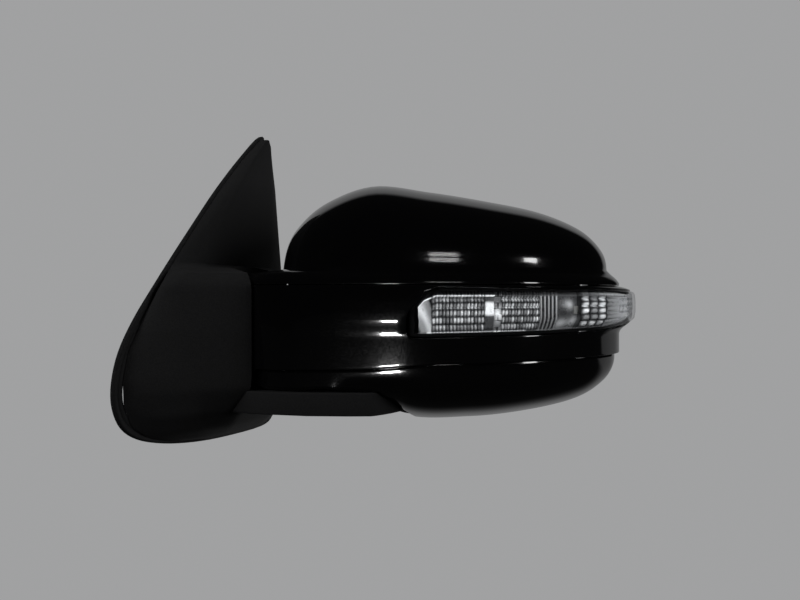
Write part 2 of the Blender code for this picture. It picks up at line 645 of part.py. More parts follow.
def make_base_metal():
    bracket = add_object("base_bracket", box_mesh((0, -54, -74), (DOOR_PAD, 42, 14), 1.5), "alloy")
    arm = add_object("arm", box_mesh((DOOR_PAD - 3, -40, -74), (44, 6, -65.2), 1.0))
    seat = add_object("seat", rod_mesh((AXIS_X, 0, -74), 3.4, 30, segments=48))
    bridge = add_object("bridge", box_mesh((40, -22, -74), (AXIS_X, 12, -70.6)))
    combine(bracket, arm, seat, bridge, how="UNION")
    cutters = [add_object("hole", rod_mesh((-1, y, z), 12, 3.3, "x", 16)) for y, z in STUDS]
    cutters.append(add_object("hole", rod_mesh((-1, *GROMMET), 12, 12, "x", 24)))
    cutters.append(add_object("hole", rod_mesh((AXIS_X, 0, -80), 15, 7, segments=24)))
    cutters += [add_object("hole", rod_mesh((x, y, -80), 15, 2.7, segments=12))
                for x, y in pivot_screw_places()]
    combine(bracket, *cutters)
    for number, (y, z) in enumerate(STUDS, 1):
        add_object(f"mount_stud_{number}", rod_mesh((-22, y, z), 29.5, 3.0, "x", 16), "steel")
    turned("wire_grommet", [(7, 10.5), (14, 10.5), (14, 8.3), (11.7, 8.3), (11.7, -0.3), (14, -0.3),
                            (14, -3), (7, -3)], "rubber", centre=(0, *GROMMET), along="x", steps=24)
    shaft = turned("pivot_shaft", [(6.5, 31), (9.5, 31), (9.5, -65.3), (27, -65.3), (27, -70.3),
                                   (6.5, -70.3)], "steel", centre=(AXIS_X, 0, 0), steps=32)
    combine(shaft, *[add_object("hole", rod_mesh((x, y, -80), 30, 2.7, segments=12))
                     for x, y in pivot_screw_places()])
    for number, (x, y) in enumerate(pivot_screw_places(), 1):
        turned(f"pivot_screw_{number}", [(0, -62.4), (3.8, -62.4), (4.1, -63), (4.1, -65),
                                         (2.4, -65), (2.4, -73.5), (0, -73.5)],
               "steel", centre=(x, y, 0), steps=12)
    turned("detent_ring", [(10.2, -60.4), (17.5, -60.4), (17.5, -65), (10.2, -65)], "grey",
           centre=(AXIS_X, 0, 0))
    turned("spring_retainer", [(9.9, 29.5), (16.5, 29.5), (16.5, 27), (9.9, 27)], "steel",
           centre=(AXIS_X, 0, 0))
    make_fold_wheel()
    make_fold_spring()


def make_fold_wheel():
    """Spur-cut worm wheel: straight-sided teeth, one of them pointing along the head's x axis."""
    tooth = math.tau / WHEEL_TEETH
    root, tip = WHEEL_PITCH_R - 1.2, WHEEL_PITCH_R + 0.9
    outline = []
    for number in range(WHEEL_TEETH):
        middle = number * tooth + math.radians(HEAD_YAW)
        for radius, share in ((root, -0.29), (tip, -0.11), (tip, 0.11), (root, 0.29)):
            angle = middle + share * tooth
            outline.append((AXIS_X + radius * math.cos(angle), radius * math.sin(angle)))
    wheel = add_object("fold_wheel", prism_mesh(outline, DRIVE_Z - 3.5, DRIVE_Z + 3.5), "grey")
    combine(wheel, fold_cylinder(9.9, DRIVE_Z - 10, DRIVE_Z + 10))


def make_fold_spring():
    turns, per_turn, radius, wire = 4, 12, 13.5, 1.7
    low, high = DRIVE_Z + 5.6, 25.0
    curve = bpy.data.curves.new("fold_spring", "CURVE")
    curve.dimensions = "3D"
    curve.bevel_depth = wire * MM
    curve.bevel_resolution = 2
    curve.use_fill_caps = True
    spline = curve.splines.new("POLY")
    spline.points.add(turns * per_turn)
    for number, point in enumerate(spline.points):
        angle = math.tau * number / per_turn
        height = low + (high - low) * number / (turns * per_turn)
        point.co = (AXIS_X * MM + radius * math.cos(angle) * MM, radius * math.sin(angle) * MM,
                    height * MM, 1)
    add_object("fold_spring", curve, "steel")


# ---- inside the head --------------------------------------------------------------------------
def make_frame(head):
    frame = add_object("head_frame", rod_mesh((0, 0, -59.6), 20.1, 24, segments=48), "grey", head)
    floor = [(42 * math.cos(a), 42 * math.sin(a)) for a in np.radians(np.linspace(145, 255, 10))]
    floor += [(20, -42), (60, -40), (70, 0), (66, 14), (44, 18), (14, 24), (-16, 30)]
    shapes = [prism_mesh(floor, -52.6, -50.2), box_mesh((12, -12, -52), (66, 4, -39.5)),
              box_mesh((56, -8, -54), (190, -3, 40)),
              box_mesh((108, -41, -18), (116, -5, -4))]
    shapes += [rod_mesh((GLASS_X + x, -4, z), 7.6, 5, "y", 16) for x, z in ACTUATOR_SCREWS]
    combine(frame, *[add_object("piece", mesh, parent=head) for mesh in shapes], how="UNION")
    cutters = [rod_mesh((0, 0, -70), 60, 10.4, segments=32)]
    cutters += [box_mesh((low, -20, -30), (low + 22, 0, 34)) for low in (70, 128, 164)]
    cutters += [rod_mesh((GLASS_X + x, -20, z), 40, 1.7, "y", 12) for x, z in ACTUATOR_SCREWS]
    combine(frame, *[add_object("cut", mesh, parent=head) for mesh in cutters])


ACTUATOR_SCREWS = [(-38, -36), (38, -36), (-2, 40)]


def hollow_box(name, low, high, wall, open_side, kind, head):
    """A moulded half shell, open on one side given as (axis, sign)."""
    low, high = np.array(low, float), np.array(high, float)
    shell = add_object(name, box_mesh(low, high, 0.8), kind, head)
    inner_low, inner_high = low + wall, high - wall
    axis, sign = open_side
    if sign > 0:
        inner_high[axis] = high[axis] + 5
    else:
        inner_low[axis] = low[axis] - 5
    return combine(shell, add_object("hollow", box_mesh(inner_low, inner_high), parent=head))


DRIVE_PLAN = [(-24, -49), (46, -49), (46, 16), (20, 16), (13, 25), (-24, 25)]


def make_fold_drive(head):
    inner_plan = shrink_ring(np.array(DRIVE_PLAN, float), 2.0)
    lower = add_object("drive_case_lower", prism_mesh(DRIVE_PLAN, -38.5, -12.3), "grey", head)
    combine(lower, add_object("bay", prism_mesh(inner_plan, -36.5, -5), parent=head))
    combine(lower, add_object("hole", rod_mesh((0, 0, -45), 15, 10.4, segments=32), parent=head))
    upper = add_object("drive_case_upper", prism_mesh(DRIVE_PLAN, -11.8, 0), "grey", head)
    tower = add_object("tower", rod_mesh((0, 0, -3), 37, 19.5, segments=32), parent=head)
    combine(upper, tower, how="UNION")
    bay = add_object("bay", prism_mesh(inner_plan, -16, -2), parent=head)
    well = add_object("well", rod_mesh((0, 0, -5), 37, 17.5, segments=32), parent=head)
    combine(upper, bay, well)
    turned("fold_motor", [(0, 0), (4, 0), (4, -1.5), (10.3, -1.5), (10.3, -29), (0, -29)], "steel",
           head, centre=(WORM_X, -16, DRIVE_Z), along="y", steps=24)
    make_worm(head)


def make_worm(head):
    """Right-handed single-start worm in mesh with the wheel; a gap of the wheel faces its thread."""
    lead = math.tau * WHEEL_PITCH_R / WHEEL_TEETH
    core, tip, turns, per_turn = 3.1, 4.5, 4, 16
    length = lead * turns
    half_root, half_tip = 0.2 * lead, 0.09 * lead
    sections = []
    for step in range(turns * per_turn + 1):
        angle = math.tau * step / per_turn
        middle = lead * (step / per_turn - turns / 2) + WORM_PHASE * lead
        profile = [(core - 0.6, -half_root), (tip, -half_tip), (tip, half_tip), (core - 0.6, half_root)]
        sections.append([(WORM_X + r * math.cos(angle), middle + y, DRIVE_Z - r * math.sin(angle))
                         for r, y in profile])
    thread = add_object("thread", closed_loft_mesh(sections), parent=head)
    body = rod_mesh((WORM_X, -15.5, DRIVE_Z), 27.8, core, "y", 16)
    combine(add_object("fold_worm", body, "steel", head), thread, how="UNION")


WORM_PHASE = 0.0


def make_actuator(head):
    low_x, high_x = GLASS_X - 46, GLASS_X + 46
    front = hollow_box("actuator_case_front", (low_x, 4, -44), (high_x, 13.8, 48), 2, (1, 1), "grey", head)
    rear = hollow_box("actuator_case_rear", (low_x, 14.2, -44), (high_x, 24, 48), 2, (1, -1), "grey", head)
    ears = [box_mesh((GLASS_X - 4, 22.5, side * 17 - 1.5), (GLASS_X + 4, GIMBAL_Y + 2.6, side * 17 + 1.5))
            for side in (-1, 1)]
    combine(rear, *[add_object("ear", mesh, parent=head) for mesh in ears], how="UNION")
    guides = [(GLASS_X + PLUNGER_ARM, 0), (GLASS_X, -PLUNGER_ARM)]
    cutters = [rod_mesh((GLASS_X, GIMBAL_Y, -25), 50, 1.9, segments=16)]
    cutters += [rod_mesh((x, 18, z), 12, 3.4, "y", 16) for x, z in guides]
    cutters += [rod_mesh((GLASS_X + x, -5, z), 45, 1.9, "y", 12) for x, z in ACTUATOR_SCREWS]
    holes = [add_object("hole", mesh, parent=head) for mesh in cutters]
    copies = [add_object("hole", cutters[-1 - n].copy(), parent=head) for n in range(3)]
    combine(rear, *holes)
    combine(front, *copies)
    for number, (x, z) in enumerate(ACTUATOR_SCREWS, 1):
        turned(f"actuator_screw_{number}", [(0, 26.6), (3, 26.6), (3.2, 26), (3.2, 24.4), (1.4, 24.4),
                                            (1.4, -2), (0, -2)], "steel", head,
               centre=(GLASS_X + x, 0, z), along="y", steps=12)
    for name, x in (("pan_motor", GLASS_X + 12), ("tilt_motor", GLASS_X - 34)):
        add_object(name, rod_mesh((x, 13.9, 24), 24, 6.5, "x", 20), "steel", head)
    for name, (x, z) in zip(("pan_plunger", "tilt_plunger"), guides):
        turned(name, [(0, 36.4), (1.7, 36), (2.4, 34.6), (1.7, 33.2), (1.6, 29), (3, 28), (3, 11),
                      (0, 11)], "white", head, centre=(x, 0, z), along="y", steps=16)


def make_gimbal(head):
    ring = turned("gimbal_ring", [(8.5, GIMBAL_Y + 2.4), (12.5, GIMBAL_Y + 2.4),
                                  (12.5, GIMBAL_Y - 2.4), (8.5, GIMBAL_Y - 2.4)], "white", head,
                  centre=(GLASS_X, 0, 0), along="y", steps=32)
    pins = [rod_mesh((GLASS_X, GIMBAL_Y, low), 8, 1.75, segments=16) for low in (-19, 11)]
    pins += [rod_mesh((GLASS_X + low, GIMBAL_Y, 0), 8, 1.75, "x", 16) for low in (-19, 11)]
    combine(ring, *[add_object("pin", mesh, parent=head) for mesh in pins], how="UNION")
    plate = bpy.data.objects["glass_plate"]
    ears = [box_mesh((GLASS_X + side * 16 - 1.5, GIMBAL_Y - 3.6, -4), (GLASS_X + side * 16 + 1.5, 40, 4))
            for side in (-1, 1)]
    sockets = [rod_mesh((GLASS_X + PLUNGER_ARM, 30.6, 0), 9, 5, "y", 20),
               rod_mesh((GLASS_X, 30.6, -PLUNGER_ARM), 9, 5, "y", 20)]
    combine(plate, *[add_object("ear", mesh, parent=head) for mesh in ears + sockets], how="UNION")
    cutters = [rod_mesh((GLASS_X - 25, GIMBAL_Y, 0), 50, 1.9, "x", 16),
               rod_mesh((GLASS_X + PLUNGER_ARM, 29, 0), 9.2, 3.6, "y", 20),
               rod_mesh((GLASS_X, 29, -PLUNGER_ARM), 9.2, 3.6, "y", 20)]
    combine(plate, *[add_object("hole", mesh, parent=head) for mesh in cutters])


def hang_on(axis_name, place, *names):
    """Puts moving pieces under an empty that stands on their joint's axis."""
    axis = bpy.data.objects.new(axis_name, None)
    PARTS.objects.link(axis)
    axis.parent = HEAD
    axis.location = np.array(place, float) * MM
    for name in names:
        piece = bpy.data.objects[name]
        piece.data.transform(Matrix.Translation(-axis.location))
        piece.parent = axis


clear_scene()
PARTS = new_collection("door_mirror")
CUTTERS = new_collection("cutters", hidden=True)
HEAD = bpy.data.objects.new("fold_axis", None)
PARTS.objects.link(HEAD)
HEAD.location = (AXIS_X * MM, 0, 0)
HEAD.rotation_euler = (0, 0, math.radians(HEAD_YAW))

make_head_covers(HEAD)
make_lamp(HEAD)
make_bezel(HEAD)
make_glass(HEAD)
make_base_cover(HEAD)
make_gasket()
make_base_metal()
make_frame(HEAD)
make_fold_drive(HEAD)
make_actuator(HEAD)
make_gimbal(HEAD)
hang_on("worm_axis", (WORM_X, 0, DRIVE_Z), "fold_worm")
hang_on("glass_pivot", (GLASS_X, GIMBAL_Y, 0), "gimbal_ring", "glass_plate", "glass_heater", "mirror_glass")
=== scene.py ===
"""Looks of the left-hand door mirror: covers, lamp, seals, mirror glass and studio round the CAD frame.

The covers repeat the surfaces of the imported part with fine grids, rolled edges and open seams.
Lengths are millimetres until MM turns them into metres. Pieces of the head are built in the head's
frame: origin on the fold axis, x outboard along the head, y towards its mirror glass.
"""

import json
import math

import bmesh
import bpy
import numpy as np
from mathutils import Matrix, Vector


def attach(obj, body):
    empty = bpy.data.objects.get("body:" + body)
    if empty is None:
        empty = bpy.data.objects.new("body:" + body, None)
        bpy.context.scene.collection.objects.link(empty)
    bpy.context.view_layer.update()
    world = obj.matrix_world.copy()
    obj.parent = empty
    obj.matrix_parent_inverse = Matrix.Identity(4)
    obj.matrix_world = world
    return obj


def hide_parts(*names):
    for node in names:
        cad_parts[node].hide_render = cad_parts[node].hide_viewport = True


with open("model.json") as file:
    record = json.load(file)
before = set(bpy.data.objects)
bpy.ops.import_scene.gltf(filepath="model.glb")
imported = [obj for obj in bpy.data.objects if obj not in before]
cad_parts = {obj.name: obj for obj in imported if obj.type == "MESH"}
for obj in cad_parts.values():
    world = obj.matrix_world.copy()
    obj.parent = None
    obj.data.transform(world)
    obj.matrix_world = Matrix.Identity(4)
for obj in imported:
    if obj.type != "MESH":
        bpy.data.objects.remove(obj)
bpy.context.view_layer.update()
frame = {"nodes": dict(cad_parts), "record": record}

MM = 0.001

# ---- shape of the covers, mm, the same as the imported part's ------------------------------------
AXIS_X = 74.0            # fold axis, out from the door face
HEAD_YAW = 25.0          # the head leans back from straight outboard, degrees
STUB_R = 59.0            # cylindrical inboard end of the head
RECESS_R = 60.5          # hollow in the base's neck that the stub turns in
RIM_Y = 50.0             # rear rim plane of the head covers, in the head's frame
BELT_TOP = 10.0          # upper edge of the front housing
BULGE_Z = -5.0           # height where the belt stands out furthest
BELT_TURN, BELT_FLAT = -11.0, -24.5   # below the bulge the belt turns in between these heights
CHAMFER_TOP = 18.5       # upper end of the chamfer band round the head and neck
DOME_FOOT = 22.0         # where the upper cover's dome starts
SEAM = 0.6               # open seam between two covers
WALL = 2.4               # wall of the moulded covers
FOOT_TOP = -61.5
FOOT_BOTTOM = -77.0
FOOT_R = 48.0            # rear part of the foot, about the fold axis
FOOT_NOSE_R = 72.5       # front corner of the foot, about the fold axis
FOOT_GAP = 1.5           # clearance of the head round the foot
GASKET = 3.0             # thickness of the rubber flange on the door face
ARC_START, ARC_END = 122.0, 262.0
BELT_MID = [(25, -63.2), (70, -66.5), (115, -64), (160, -55), (200, -38.5), (226, -18), (238, 3),
            (238.5, 20), (234, 36), (226.5, 50)]
BELT_EDGE = [(25, -62), (70, -65), (115, -61.5), (158, -51.5), (195, -35), (216, -16.5),
             (225.5, 2), (227.5, 18), (226.5, 35), (224.5, 50)]
DOME_PLAN = [(-31, 50), (-27, 15), (-20, -20), (-5, -42), (35, -55.5), (80, -58), (125, -53),
             (165, -42.5), (196, -26.5), (212.5, -7), (219.5, 18), (222, 50)]
RIM_UPPER = [(-31.5, 25), (-25.5, 43), (-13, 60), (9, 77), (43, 88.5), (85, 83.5), (125, 77),
             (165, 69), (195, 57.5), (211.5, 44.5), (219, 34), (223.5, 24.5)]
RIM_LOWER = [(-31, -50), (-30, -56.5), (-26, -59.5), (-14, -60.1), (2, -60.3), (16, -60.5), (31, -61.5),
             (59, -87), (112, -89), (158, -84.5), (191, -77), (209, -66.5), (220, -54), (224, -46),
             (225.5, -41.5), (225.5, -39)]
LOWER_SEAM_Z = [(-60, -47), (40, -45.5), (85, -41.8), (130, -41.2), (190, -39.5), (240, -38.5)]
GLASS_OUTLINE = [(16, 4), (19, 40), (38, 61), (75, 67), (120, 62), (165, 53.5), (195, 38),
                 (207, 12), (207, -18), (200, -44), (180, -61), (145, -69), (100, -72), (66, -69),
                 (40, -54), (22, -30)]
DOOR_OUTLINE = [(29, 134.5), (3, 112), (-26, 82.5), (-50, 55), (-70.5, 31), (-89.5, 8), (-106, -13),
                (-118, -33), (-123.5, -52), (-123, -68), (-116, -82), (-102, -91.5),
                (-80, -98), (-50, -102.5), (-15, -104.6), (30, -104.2), (45, -98), (50, -84),
                (52, -50), (50.5, 0), (48.5, 28), (41.5, 80), (35, 126)]
LENS_UPPER = [(65.5, -13), (67.5, -8), (78, 4.5), (86, 8.2), (200, 8.4), (240, 7.0)]
LENS_LOWER = [(65.5, -20), (68, -23.8), (73, -24.5), (160, -23), (215, -21), (234, -18.5), (240, -15)]
LENS_FROM, LENS_TO = 0.4605, 0.925
ARC_SHARE = 5 / 15
SPANS = 15
BELT_NUMBERS = [0, 5, 6, 7, 8, 9, 10, 11, 12, 13, 14, 15]
DOME_NUMBERS = [0, 3, 3.7, 4.8, 5.75, 6.85, 7.95, 8.9, 9.7, 10.2, 10.6, 11]
DOME_POWER = 0.8         # below 1 makes the quarter sections of the covers squarer
GLASS_CENTRE = np.array([100.0, 0.0])
GLASS_ROOM = 4.0
COVER_WALL = 2.8
EDGE_INSET = [(-60, 6.5), (-15, 5.0), (25, 2.0), (134, 1.5)]
NECK = {
    -103: [(4.5, -25), (5, -18), (5, 0), (5, 15), (4.5, 22), (4, 26)],
    -99: [(8, -60), (11, -48), (14, -30), (14, 10), (9, 31), (6, 38)],
    -90: [(12, -84), (21, -66), (30, -42), (29, 5), (13, 36), (8, 44)],
    -77: [(14, -100), (29, -77), (47, -54), (45, 12), (15, 38), (10, 47)],
    -60: [(14, -107), (32, -82), (61, -56), (50, 10), (13, 36), (11, 49.5)],
    -50: [(13.5, -107), (31.5, -82.5), (66, -53), (46, 15), (12.8, 35), (11, 50)],
    -20: [(11, -101), (25.5, -87), (66, -53), (44, 15), (12.8, 35), (11, 49.3)],
    10: [(10, -90), (18, -89), (66, -53.5), (42, 15), (12.8, 33.5), (11, 48)],
    18.5: [(11.5, -81), (22, -81), (64, -51), (41, 14), (12.6, 32), (11, 47)],
    21.8: [(11.5, -77), (23, -77.5), (61, -48.5), (38, 10), (12.6, 28), (11, 46.8)],
}
FOOT_FRONT = [(-57, 0), (-75, -30), (-38, -48), (0, -57), (28, -58.3), (43, -57.8)]


def mesh_of(points, faces, name="shape"):
    mesh = bpy.data.meshes.new(name)
    mesh.from_pydata([tuple(np.asarray(point) * MM) for point in points], [], faces)
    return mesh


def smooth_through(points, where, closed=False):
    """Cubic curve through the points, read at fractional point numbers."""
    points = np.array(points, float)
    count = len(points)
    if closed:
        slopes = (np.roll(points, -1, axis=0) - np.roll(points, 1, axis=0)) / 2
    else:
        slopes = np.gradient(points, axis=0)
    where = np.asarray(where, float)
    first = np.floor(where).astype(int)
    first = first % count if closed else np.clip(first, 0, count - 2)
    second = (first + 1) % count
    t = (where - np.floor(where) if closed else where - first)[..., None]
    return ((2 * t**3 - 3 * t**2 + 1) * points[first] + (t**3 - 2 * t**2 + t) * slopes[first]
            + (3 * t**2 - 2 * t**3) * points[second] + (t**3 - t**2) * slopes[second])


def belt_plans(fraction):
    """Mid and edge plan curves of the belt at a fraction 0..1: the arc first, then the front."""
    fraction = np.asarray(fraction, float)
    arc_share = ARC_SHARE
    angle = np.radians(ARC_START + (ARC_END - ARC_START) * np.minimum(fraction / arc_share, 1))
    arc = STUB_R * np.stack([np.cos(angle), np.sin(angle)], axis=-1)
    end = STUB_R * np.array([math.cos(math.radians(ARC_END)), math.sin(math.radians(ARC_END))])
    number = np.maximum(fraction - arc_share, 0) / (1 - arc_share) * len(BELT_MID)
    on_arc = (fraction <= arc_share)[..., None]
    mid = np.where(on_arc, arc, smooth_through([tuple(end)] + BELT_MID, number))
    edge = np.where(on_arc, arc, smooth_through([tuple(end)] + BELT_EDGE, number))
    return mid, edge


def belt_bottom(x):
    at, heights = zip(*LOWER_SEAM_Z)
    return np.interp(x, at, heights)


def outward(plan):
    """Unit normals in plan, pointing out of the head, for a curve that runs arc first."""
    along = np.gradient(plan, axis=0)
    along /= np.linalg.norm(along, axis=1)[:, None]
    return np.stack([along[:, 1], -along[:, 0]], axis=1)


def belt_point(fraction, height, inset=0.0):
    """Points on the belt at plan fractions and heights, moved inwards by inset."""
    fraction = np.asarray(fraction, float)
    mid, edge = belt_plans(fraction)
    above = np.clip((height - BULGE_Z) / (BELT_TOP - BULGE_Z), 0, 1) ** 6
    turn = np.clip((BELT_TURN - height) / (BELT_TURN - BELT_FLAT), 0, 1)
    bulge = np.atleast_1d(1 - above - turn**2 * (3 - 2 * turn))[:, None]
    plan = edge + (mid - edge) * bulge
    plan = plan - outward(plan) * np.reshape(inset, (-1, 1))
    return np.column_stack([plan, np.broadcast_to(height, fraction.shape)])


def quad_faces(rows, columns, wrap=False):
    span = columns if wrap else columns - 1
    return [(r * columns + c, r * columns + (c + 1) % columns,
             (r + 1) * columns + (c + 1) % columns, (r + 1) * columns + c)
            for r in range(rows - 1) for c in range(span)]


def quarter(start, rim, steps, upright=False, square=0.0):
    """Rows of points from a start curve to the rim: out along the rim plane, back along y.

    Upright walls leave the start curve straight. Where square is 1 the section is a wall with a
    small round corner and a flat floor.
    """
    rows = []
    for share in np.linspace(0, 1, steps + 1)[1:]:
        angle = math.pi / 2 * share
        rise = math.sin(angle) ** DOME_POWER
        run = math.cos(angle) ** DOME_POWER if share < 1 else 0.0
        rise = rise + (np.interp(share, [0, 0.3, 0.42, 1], [0, 0.82, 1, 1]) - rise) * square
        run = run + (np.interp(share, [0, 0.3, 0.42, 1], [1, 1, 0.97, 0]) - run) * square
        x = start[:, 0] + (rim[:, 0] - start[:, 0]) * (1 - run if upright else rise)
        z = start[:, 2] + (rim[:, 1] - start[:, 2]) * rise
        y = RIM_Y + (start[:, 1] - RIM_Y) * run
        rows.append(np.column_stack([x, y, z]))
    return rows


def upper_cover_grid(fractions, dome_steps):
    edge = belt_point(fractions, BELT_TOP)[:, :2]
    normal = outward(edge)
    numbers = np.interp(fractions * SPANS, BELT_NUMBERS, DOME_NUMBERS)
    foot = smooth_through(DOME_PLAN, numbers)
    rim = smooth_through(RIM_UPPER, numbers)
    fade = np.clip((RIM_Y - edge[:, 1]) / 12, 0, 1)[:, None]
    rows = [np.column_stack([edge, np.full(len(edge), BELT_TOP + SEAM)]),
            np.column_stack([edge, np.full(len(edge), BELT_TOP + 2.4)]),
            np.column_stack([edge - normal * 5.5 * fade, np.full(len(edge), CHAMFER_TOP)])]
    start = np.column_stack([foot, np.full(len(foot), DOME_FOOT)])
    return rows + [start] + quarter(start, rim, dome_steps)


def lower_cover_grid(fractions, steps):
    edge = belt_point(fractions, BELT_TOP, inset=3.4)[:, :2]
    edge[:, 1] = np.minimum(edge[:, 1], RIM_Y)
    seam = belt_bottom(edge[:, 0]) - SEAM
    rim = smooth_through(RIM_LOWER, fractions * SPANS)
    start = np.column_stack([edge, seam - 2.0])
    square = np.interp(fractions, [0.39, 0.45], [1, 0])
    return [np.column_stack([edge, seam]), start] + quarter(start, rim, steps, True, square)


def lens_edges(x, shrink):
    upper = np.interp(x, *zip(*LENS_UPPER)) - shrink
    lower = np.interp(x, *zip(*LENS_LOWER)) + shrink
    return lower, upper


def foot_outline(grow, reach=0.0):
    """Plan of the foot in the head's frame at rest; reach turns its nose on, for the clearance."""
    nose, round_r = FOOT_NOSE_R + grow, FOOT_R + grow
    angles = np.radians(np.linspace(-51, -25 + reach, 5 if not reach else 9))
    points = [(nose * math.cos(a), nose * math.sin(a)) for a in angles]
    last = math.radians(8 if not reach else -15 + reach)
    points += [(round_r * math.cos(a), round_r * math.sin(a)) for a in np.linspace(last, math.pi, 12)]
    return points


def around(outline, centre, angles, offset=0.0):
    """Points of a star-shaped closed outline, offset radially, at angles about a centre."""
    curve = smooth_through(outline, np.arange(0, len(outline), 0.1), closed=True) - centre
    bearing = np.unwrap(np.arctan2(curve[:, 1], curve[:, 0]))
    if bearing[-1] < bearing[0]:
        curve, bearing = curve[::-1], bearing[::-1]
    reach = np.linalg.norm(curve, axis=1)
    radius = np.interp(angles, np.r_[bearing - math.tau, bearing, bearing + math.tau],
                       np.tile(reach, 3)) + offset
    return np.column_stack([radius * np.cos(angles), radius * np.sin(angles)]) + centre


def rim_outline():
    return RIM_UPPER + RIM_LOWER[::-1]


def door_edges(z):
    """Front and rear Y of the door outline at a height."""
    front = DOOR_OUTLINE[:16]
    rear = DOOR_OUTLINE[15:] + DOOR_OUTLINE[:1]
    return (np.interp(-z, [-p[1] for p in front], [p[0] for p in front]),
            np.interp(z, [p[1] for p in rear], [p[0] for p in rear]))


def sail_row(z, front, rear):
    width = rear - front
    thick = np.interp(z, [90, 134], [12.8, 9.5])
    shares = (0.06, 0.16, 0.4, 0.65, 0.85)
    depths = (0.62, 0.95, 1.0, 1.0, 0.98)
    points = [(thick * depth, front + width * share) for depth, share in zip(depths, shares)]
    return points + [(thick * 0.85, rear - 1.6)]


def neck_row(z):
    heights = sorted(NECK)
    table = np.array([NECK[height] for height in heights], float)
    return [tuple(np.interp(z, heights, table[:, i, k]) for k in (0, 1)) for i in range(6)]


def base_ring(z):
    """One closed plan ring (X, Y) of the base cover, from the front edge round to the rear edge."""
    front, rear = door_edges(z)
    inset = np.interp(z, *zip(*EDGE_INSET))
    if z < -101:
        front, rear = -36.0, 30.0
    front = front + inset
    row = sail_row(z, front, rear) if z > 22 else neck_row(z)
    edge = GASKET + 0.4
    dome = smooth_through([(edge, front), row[0], row[1]], [0, 0.5, 1, 1.5])
    return np.array([*map(tuple, dome), *row[1:], (edge, rear - 1.5)])


def shrink_ring(ring, distance):
    """Moves a closed counter-clockwise-in-plan ring inwards along its corner normals."""
    before, after = np.roll(ring, 1, axis=0), np.roll(ring, -1, axis=0)
    one = (ring - before) / np.linalg.norm(ring - before, axis=1)[:, None]
    two = (after - ring) / np.linalg.norm(after - ring, axis=1)[:, None]
    normal_one = np.stack([-one[:, 1], one[:, 0]], axis=1)
    normal_two = np.stack([-two[:, 1], two[:, 0]], axis=1)
    middle = normal_one + normal_two
    middle /= np.linalg.norm(middle, axis=1)[:, None]
    cosine = np.clip((middle * normal_one).sum(axis=1), 0.6, 1)
    return ring + middle * (distance / cosine)[:, None]


def at_height(ring, z):
    return np.column_stack([ring, np.full(len(ring), z)])


def inner_ring(z):
    """The ring inside the one at height z, lower under a top surface and higher over the underside."""
    ring = shrink_ring(base_ring(z), COVER_WALL)
    ring[0, 0] = ring[-1, 0] = -5.0
    return at_height(ring, z + np.interp(z, [-75, -55, 0, 8], [COVER_WALL, 0, 0, -COVER_WALL]))


# ---- building pieces --------------------------------------------------------------------------
HEAD_PLACE = Matrix.Translation((AXIS_X * MM, 0, 0)) @ Matrix.Rotation(math.radians(HEAD_YAW), 4, "Z")


def new_object(name, mesh, on_head=True):
    obj = bpy.data.objects.new(name, mesh)
    bpy.context.scene.collection.objects.link(obj)
    if on_head:
        mesh.transform(HEAD_PLACE)
    return obj


def add_modifier(obj, kind, **settings):
    made = obj.modifiers.new(kind.title(), kind)
    for key, value in settings.items():
        setattr(made, key, value)
    return made


def apply_modifiers(obj):
    bpy.context.view_layer.update()
    evaluated = obj.evaluated_get(bpy.context.evaluated_depsgraph_get())
    mesh = bpy.data.meshes.new_from_object(evaluated)
    obj.modifiers.clear()
    obj.data = mesh
    return obj


def cut(obj, *others, how="DIFFERENCE"):
    for other in others:
        add_modifier(obj, "BOOLEAN", operation=how, solver="EXACT", object=other)
    apply_modifiers(obj)
    for other in others:
        bpy.data.objects.remove(other, do_unlink=True)
    return obj


def outward_faces(mesh):
    bm = bmesh.new()
    bm.from_mesh(mesh)
    bmesh.ops.recalc_face_normals(bm, faces=bm.faces)
    bm.to_mesh(mesh)
    bm.free()
    return mesh


def roll_edges(obj, width=0.5, angle=38, segments=3):
    """Rounds the sharp edges and shades the rest smooth."""
    add_modifier(obj, "BEVEL", width=width * MM, segments=segments, limit_method="ANGLE",
                 angle_limit=math.radians(angle), harden_normals=False)
    apply_modifiers(obj)
    obj.data.shade_smooth()
    obj.data.set_sharp_from_angle(angle=math.radians(35))
    return obj


def cover(name, grid, thickness=WALL, skip=None):
    """A moulded cover: a grid of points, thickened inwards, with the faces that skip names left out."""
    grid = np.array(grid)
    rows, columns = grid.shape[:2]
    faces = quad_faces(rows, columns)
    if skip is not None:
        faces = [face for face in faces if not skip(*divmod(face[0], columns))]
    mesh = outward_faces(mesh_of(grid.reshape(-1, 3), faces))
    obj = new_object(name, mesh)
    add_modifier(obj, "SOLIDIFY", thickness=thickness * MM, offset=-1)
    return apply_modifiers(obj)


def loft(name, rings, on_head=True):
    """A closed solid through rings of equal point counts, capped at both ends."""
    rings = np.array(rings)
    count, columns = rings.shape[:2]
    faces = quad_faces(count, columns, wrap=True)
    faces += [tuple(range(columns)), tuple(range((count - 1) * columns, count * columns))]
    return new_object(name, outward_faces(mesh_of(rings.reshape(-1, 3), faces)), on_head)


def hoop(name, sections, on_head=True):
    """A closed hoop: the same closed section at every station round it."""
    sections = np.array(sections)
    stations, around_count = sections.shape[:2]
    faces = [(s * around_count + a, s * around_count + (a + 1) % around_count,
              (s + 1) % stations * around_count + (a + 1) % around_count,
              (s + 1) % stations * around_count + a)
             for s in range(stations) for a in range(around_count)]
    return new_object(name, outward_faces(mesh_of(sections.reshape(-1, 3), faces)), on_head)


def prism(name, outline, low, high, on_head=True):
    return loft(name, [[(x, y, z) for x, y in outline] for z in (low, high)], on_head)


